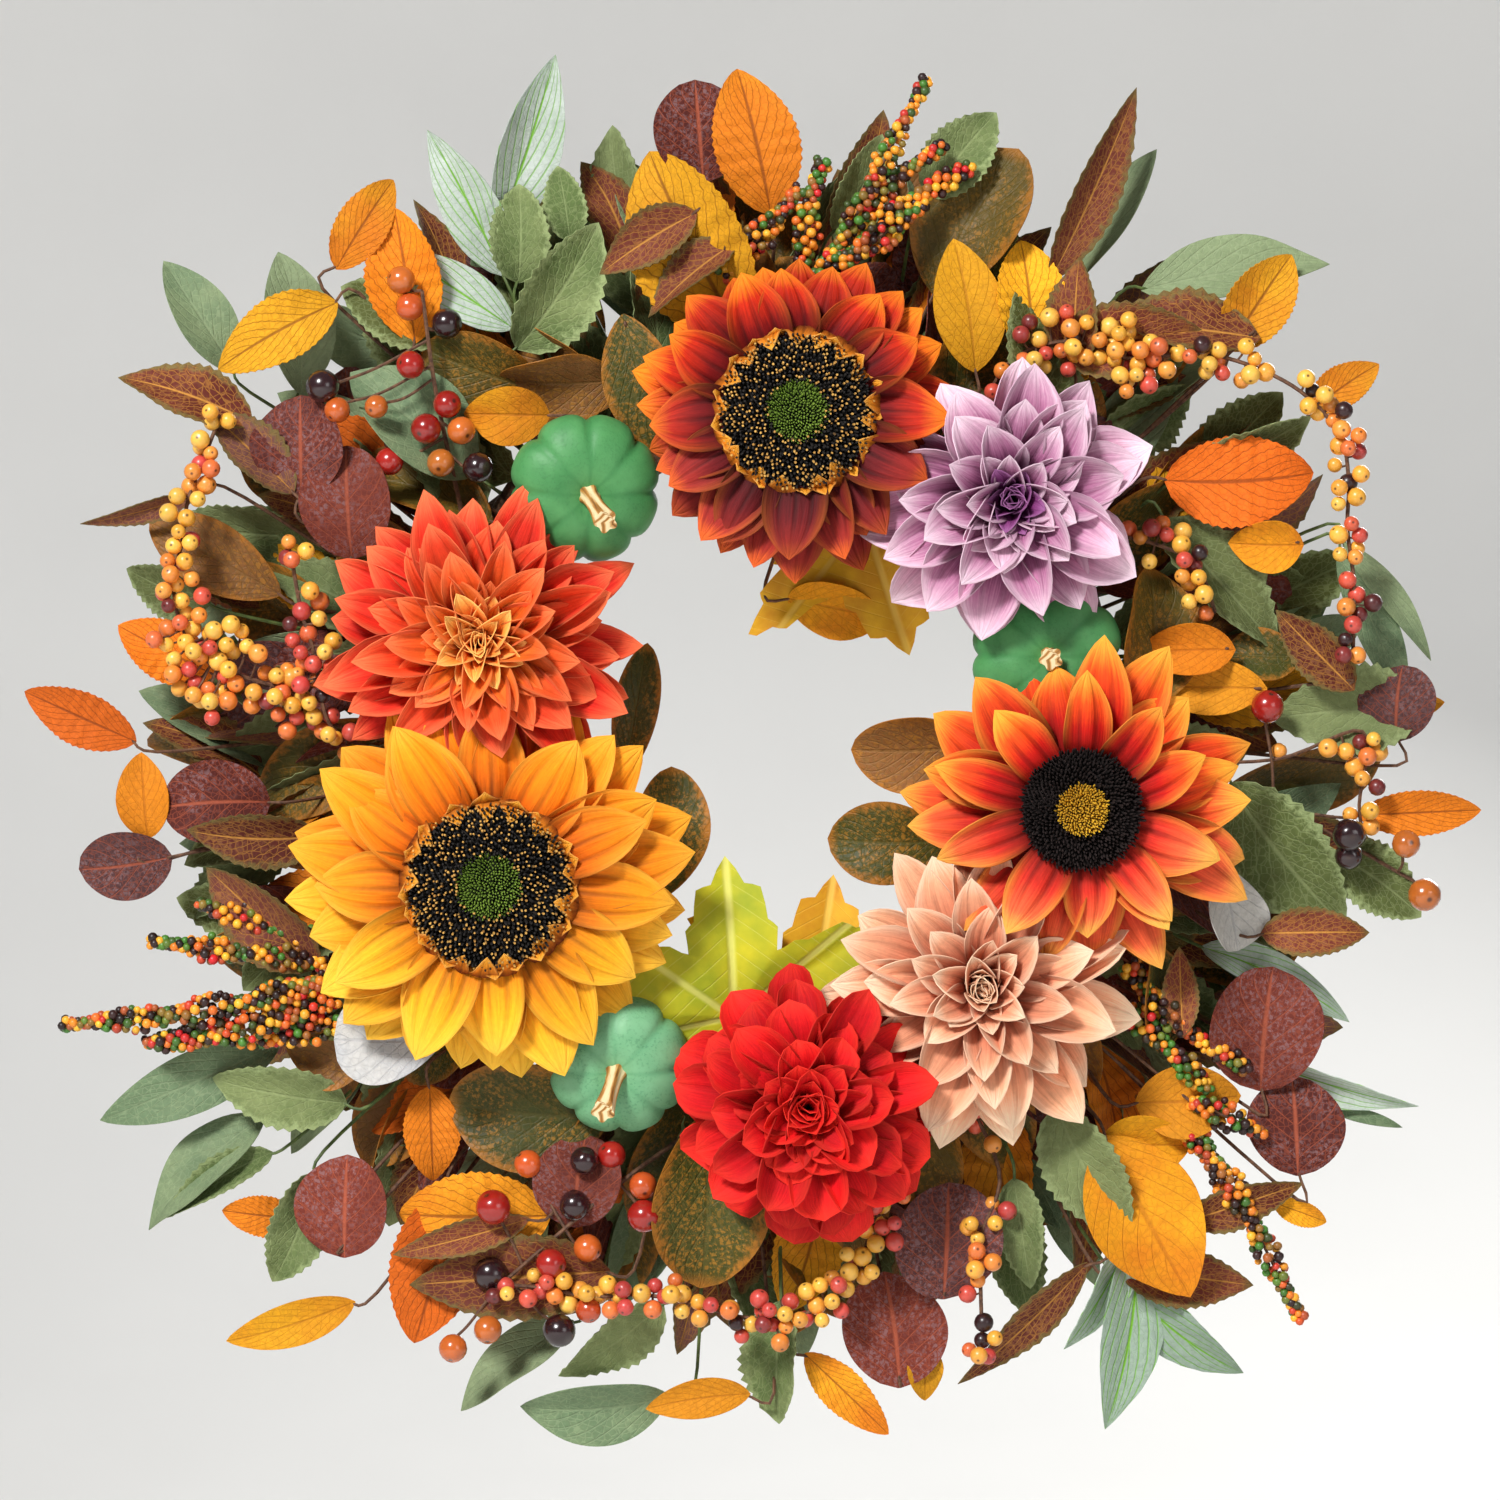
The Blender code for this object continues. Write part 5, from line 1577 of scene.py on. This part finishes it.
# %% Set the seed heads
SEED_HEADS = {
    "millet_spray_top": (
        ((5, 200, 58), (5, 222, 64), (6, 245, 62), 6.0), ((8, 200, 60), (11, 235, 66), (14, 287, 58), 5.5),
        ((8, 205, 58), (14, 228, 64), (20, 257, 58), 6.0), ((7, 195, 62), (12, 212, 68), (17, 236, 64), 6.5),
        ((355, 196, 60), (0, 212, 66), (4, 232, 64), 6.5), ((9, 215, 60), (13, 240, 62), (17, 262, 60), 5.0),
    ),
    "millet_spray_left": (
        ((243, 205, 60), (248, 235, 64), (252, 270, 60), 6.0),
        ((241, 205, 64), (244, 255, 66), (248, 317, 56), 7.0),
        ((239, 207, 62), (241, 250, 64), (244, 288, 58), 7.0),
        ((236, 205, 60), (237, 222, 62), (239, 246, 58), 6.0),
        ((246, 205, 58), (250, 222, 62), (254, 246, 60), 6.0),
    ),
    "millet_spray_right": (
        ((121, 180, 56), (124, 205, 60), (124, 246, 56), 6.5),
        ((130, 235, 56), (129, 248, 60), (128, 268, 54), 6.0),
        ((132, 240, 54), (134, 280, 56), (137, 333, 48), 6.5),
        ((126, 190, 56), (127, 215, 60), (128, 238, 58), 6.0),
    ),
}
MILLET_BASE = (158, 42)  # the reach and height at which the heads' twigs leave the vines
BEADS_FOR_SIZE = 0.27  # beads for each square millimetre of length times thickness
BEAD_TURN = 2.4  # from one bead to the next, in radians: the golden turn again
for name, heads in SEED_HEADS.items():
    copies = []
    routes = []
    for root, middle, tip, thick in heads:
        spine = smooth_route([on_ring(*stop) for stop in (root, middle, tip)], 20)
        base = on_ring(root[0], *MILLET_BASE)
        points = smooth_route((base, base.lerp(spine[0], 0.6), spine[0]), 4) + spine[1:]
        routes.append((points, [0.7] * len(points)))
        length = (spine[-1] - spine[0]).length / MM
        count = int(length * thick * BEADS_FOR_SIZE)
        for number in range(count):
            share = (number + 0.5) / count
            at = share * (len(spine) - 1)
            index = min(int(at), len(spine) - 2)
            centre = spine[index].lerp(spine[index + 1], at - index)
            run = (spine[index + 1] - spine[index]).normalized()
            side = run.cross(FRONT).normalized()
            around = number * BEAD_TURN
            bunch = 0.72 + 0.28 * math.sin(share * length / 5.0 + root[0])
            taper = 0.45 + 0.55 * math.sin(math.pi * min(1.0, 0.15 + share * 0.85))
            taper *= bunch * DRAW.uniform(0.6, 1.1)
            out = side * math.cos(around) + side.cross(run) * math.sin(around)
            centre = centre + out * thick * taper * MM
            radius = DRAW.uniform(1.6, 2.3)
            copies.append(set_berry(BEAD, centre, radius, out, (DRAW.random(), DRAW.random(), 0.0)))
    twigs(f"{name}_twigs", routes, TWIG)
    gather(f"{name}_beads", copies, SEED_SKIN, (name,))
    print(name, len(copies), "beads")

# %% [markdown]
# ## Three maple leaves
# The maple leaves hang into the middle of the ring. Their outline is a circle whose points are pulled out to
# five lobes with small teeth, and rings of points are then extruded inwards from that outline.

# %% Cut the maple leaf
MAPLE_POINTS = 132
MAPLE_TEETH = 33
MAPLE_LOBES = (  # turn from the middle lobe, length, and how wide, in degrees
    (0.0, 1.0, 27.0), (52.0, 0.90, 25.0), (-52.0, 0.90, 25.0), (108.0, 0.66, 24.0), (-108.0, 0.66, 24.0),
)


def maple_radius(turn):
    """The outline's distance from the stalk's foot at a turn from the middle lobe, in degrees."""
    reach = 0.50
    for lobe, size, wide in MAPLE_LOBES:
        gap = abs((turn - lobe + 180.0) % 360.0 - 180.0)
        reach = max(reach, size * math.exp(-(gap / wide) ** 1.25 * 0.72))
    tooth = abs(turn / 360.0 * MAPLE_TEETH % 1.0 * 2.0 - 1.0)
    return reach * (0.96 + 0.11 * tooth)


def model_maple():
    deselect()
    bpy.ops.mesh.primitive_circle_add(vertices=MAPLE_POINTS, radius=1.0, fill_type="NOTHING")
    leaf = bpy.context.object
    for vertex in leaf.data.vertices:
        turn = math.degrees(math.atan2(vertex.co.x, vertex.co.y))
        vertex.co = Vector((math.sin(math.radians(turn)), math.cos(math.radians(turn)), 0.0)) * maple_radius(turn)
    bpy.ops.object.mode_set(mode="EDIT")
    pick(lambda co: True)
    share = 1.0
    for smaller in (0.86, 0.70, 0.52, 0.34, 0.16):
        bpy.ops.mesh.extrude_edges_move()
        factor = smaller / share
        bpy.ops.transform.resize(value=(factor, factor, 1.0), center_override=(0.0, 0.0, 0.0))
        share = smaller
    bpy.ops.mesh.edge_face_add()
    bpy.ops.object.mode_set(mode="OBJECT")
    leaf.data.uv_layers.new(name="UVMap")
    shape = Shape(leaf)
    flat = shape.points
    corners = [index for face in shape.faces for index in face]
    shape.uv = np.array([(0.5 + flat[index][0] * 0.5, 0.5 + flat[index][1] * 0.5) for index in corners])
    for point in flat:
        turn = math.degrees(math.atan2(point[0], point[1]))
        near = min(abs((turn - lobe + 180.0) % 360.0 - 180.0) for lobe, _, _ in MAPLE_LOBES)
        point[2] = 0.10 * math.hypot(point[0], point[1]) * (near / 23.0) ** 0.8 - 0.10 * point[1] ** 2
    return shape


def maple_cloth(name, light, deep, vein):
    finish = Finish(name, Roughness=0.65, Specular_IOR_Level=0.25)
    broad = finish.place.noise(60.0, 3.0)
    fine = finish.place.noise(420.0, 4.0)
    x = (finish.across - 0.5) * 2.0
    y = (finish.along - 0.5) * 2.0
    colour = (broad * 1.8 - 0.4 + (finish.chance - 0.5) * 0.4).clamped().mix(light, deep)
    lobe_veins = []
    for turn in (0.0, 46.0, 100.0):
        angle = math.radians(turn)
        aside = (x.size() * math.cos(angle) - y * math.sin(angle)).size()
        ahead = (x.size() * math.sin(angle) + y * math.cos(angle)).step(0.0, 0.05)
        lobe_veins.append((1.0 - aside.step(0.006, 0.03)) * ahead)
    side_vein = 1.0 - (x.size() * 9.0 + y * 9.0).zigzag().step(0.0, 0.08)
    web = lobe_veins[0].higher(lobe_veins[1]).higher(lobe_veins[2]).higher(side_vein * 0.35)
    colour = (web * 0.7).mix(colour, vein)
    return finish.feed(colour, fine * 0.4 - web * 0.8, 0.5, 0.0008)


# %% Hang the maple leaves
MAPLE = model_maple()
LIME = maple_cloth("lime_maple_cloth", (206, 196, 36), (140, 158, 34), (226, 224, 120))
AMBER = maple_cloth("amber_maple_cloth", (236, 184, 40), (196, 120, 28), (240, 200, 90))
MAPLE_LEAVES = (  # finish, clock and reach of foot and of tip, width as a share of the length, height
    ("maple_leaf_lime", LIME, (186, 116), (196, 52), 1.3, 60, ("maple_leaf",)),
    ("maple_leaf_gold", AMBER, (171, 118), (152, 66), 1.3, 45, ()),
    ("maple_leaf_amber", AMBER, (25, 104), (58, 72), 1.4, 40, ()),
)
for name, cloth, foot, tip, size, height, replaces in MAPLE_LEAVES:
    start = on_ring(*foot, height)
    end = on_ring(*tip, height + 4)
    along = end - start
    placed = grow(MAPLE, along.length, along.length * size, 10.0, -14.0, 0.0, 8.0)
    placed = set_down(placed, start, along, turn_about(FRONT, along.normalized(), 12.0))
    gather(name, [(MAPLE, placed, (0.3, 0.5, 0.0))], cloth, replaces, LEAF_CLOTH_THICKNESS)
    root = on_ring(clock_of(start), RING_RADIUS - ROPE_RADIUS * ROOT_DEPTH, ROPE_HEIGHT)
    stalk = smooth_route((root, root.lerp(start, 0.5) + FRONT * 3 * MM, start, start + along * 0.1), 4)
    twigs(f"{name}_stalk", [(stalk, [0.9] * len(stalk))], STEM)
print("maple leaves:", len(MAPLE_LEAVES), "of", len(MAPLE.faces), "faces each")

# %% [markdown]
# ## Floor, light and camera
# The wreath hangs before a pale studio sweep. A soft light from the upper left in front makes the main shadows,
# a weak one from the right fills them, and a broad one from behind lights the sweep and the leaves' edges. The
# camera looks straight at the front, from far enough away that the flowers hardly grow towards it.

# %% Studio
low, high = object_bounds()
print("visual box:", [round(side, 3) for side in high - low])
FLOOR_GAP = 0.40  # in metres, from the lowest leaf tip down to the floor


def studio_sweep():
    """A floor that curves up into a wall behind the wreath."""
    deselect()
    bpy.ops.mesh.primitive_plane_add(size=2.0, location=(0.0, 0.0, 0.0))
    sweep = bpy.context.object
    sweep.name = "studio_sweep"
    bpy.ops.object.mode_set(mode="EDIT")
    pick(lambda co: True)
    bpy.ops.transform.resize(value=(14.0, 10.0, 1.0))
    bpy.ops.transform.translate(value=(0.0, -6.0, low.z - FLOOR_GAP))
    pick(lambda co: co.y > 3.0)
    bpy.ops.mesh.extrude_edges_move(TRANSFORM_OT_translate={"value": (0.0, 0.0, 6.0)})
    bpy.ops.object.mode_set(mode="OBJECT")
    apply_modifier(sweep, "BEVEL", width=1.6, segments=24, limit_method="ANGLE")
    smooth(sweep, 80)
    finish = Finish("pale_sweep", Roughness=0.9)
    grain = finish.place.noise(3.0, 2.0)
    sweep.data.materials.append(finish.feed(grain.ramp((0.0, 232, 231, 228), (1.0, 240, 239, 236))))


studio_sweep()

# %% Lights and camera
def soft_light(name, place, power, size):
    light = bpy.data.lights.new(name, "AREA")
    light.energy = power
    light.size = size
    lamp = link(name, light)
    lamp.location = place
    lamp.rotation_euler = (MIDDLE - Vector(place)).to_track_quat("-Z", "Y").to_euler()


soft_light("key_light", (-1.7, -3.3, 2.2), 218.0, 0.85)
soft_light("fill_light", (2.4, -3.2, 0.4), 20.0, 1.6)
soft_light("back_light", (1.4, 2.8, 1.2), 65.0, 1.5)
world = bpy.data.worlds.new("studio")
world.use_nodes = True
background = world.node_tree.nodes["Background"]
background.inputs["Color"].default_value = paint(236, 238, 242)
background.inputs["Strength"].default_value = 0.20
scene = bpy.context.scene
scene.world = world
scene.view_settings.view_transform = "Standard"

FRAMED = 0.63  # how wide a stretch of the flowers' plane fills the picture, in metres
CAMERA_DISTANCE = 2.2  # from that plane
FLOWER_PLANE = -0.054
FILM = 36.0
ASIDE, BELOW = 0.005, 0.0034  # how far the camera's axis passes the ring's middle
camera = bpy.data.cameras.new("front_camera")
camera.lens = FILM * CAMERA_DISTANCE / FRAMED
viewer = link("front_camera", camera)
viewer.location = (MIDDLE.x - ASIDE, FLOWER_PLANE - CAMERA_DISTANCE, MIDDLE.z - BELOW)
viewer.rotation_euler = (math.pi / 2, 0.0, 0.0)
scene.camera = viewer
print("camera lens:", round(camera.lens, 1))

# %% [markdown]
# ## Close the scene
# The count of the pieces made and of their faces is printed.

# %% Sizes and finish
print("pieces:", len(made_faces), "faces:", sum(made_faces.values()))
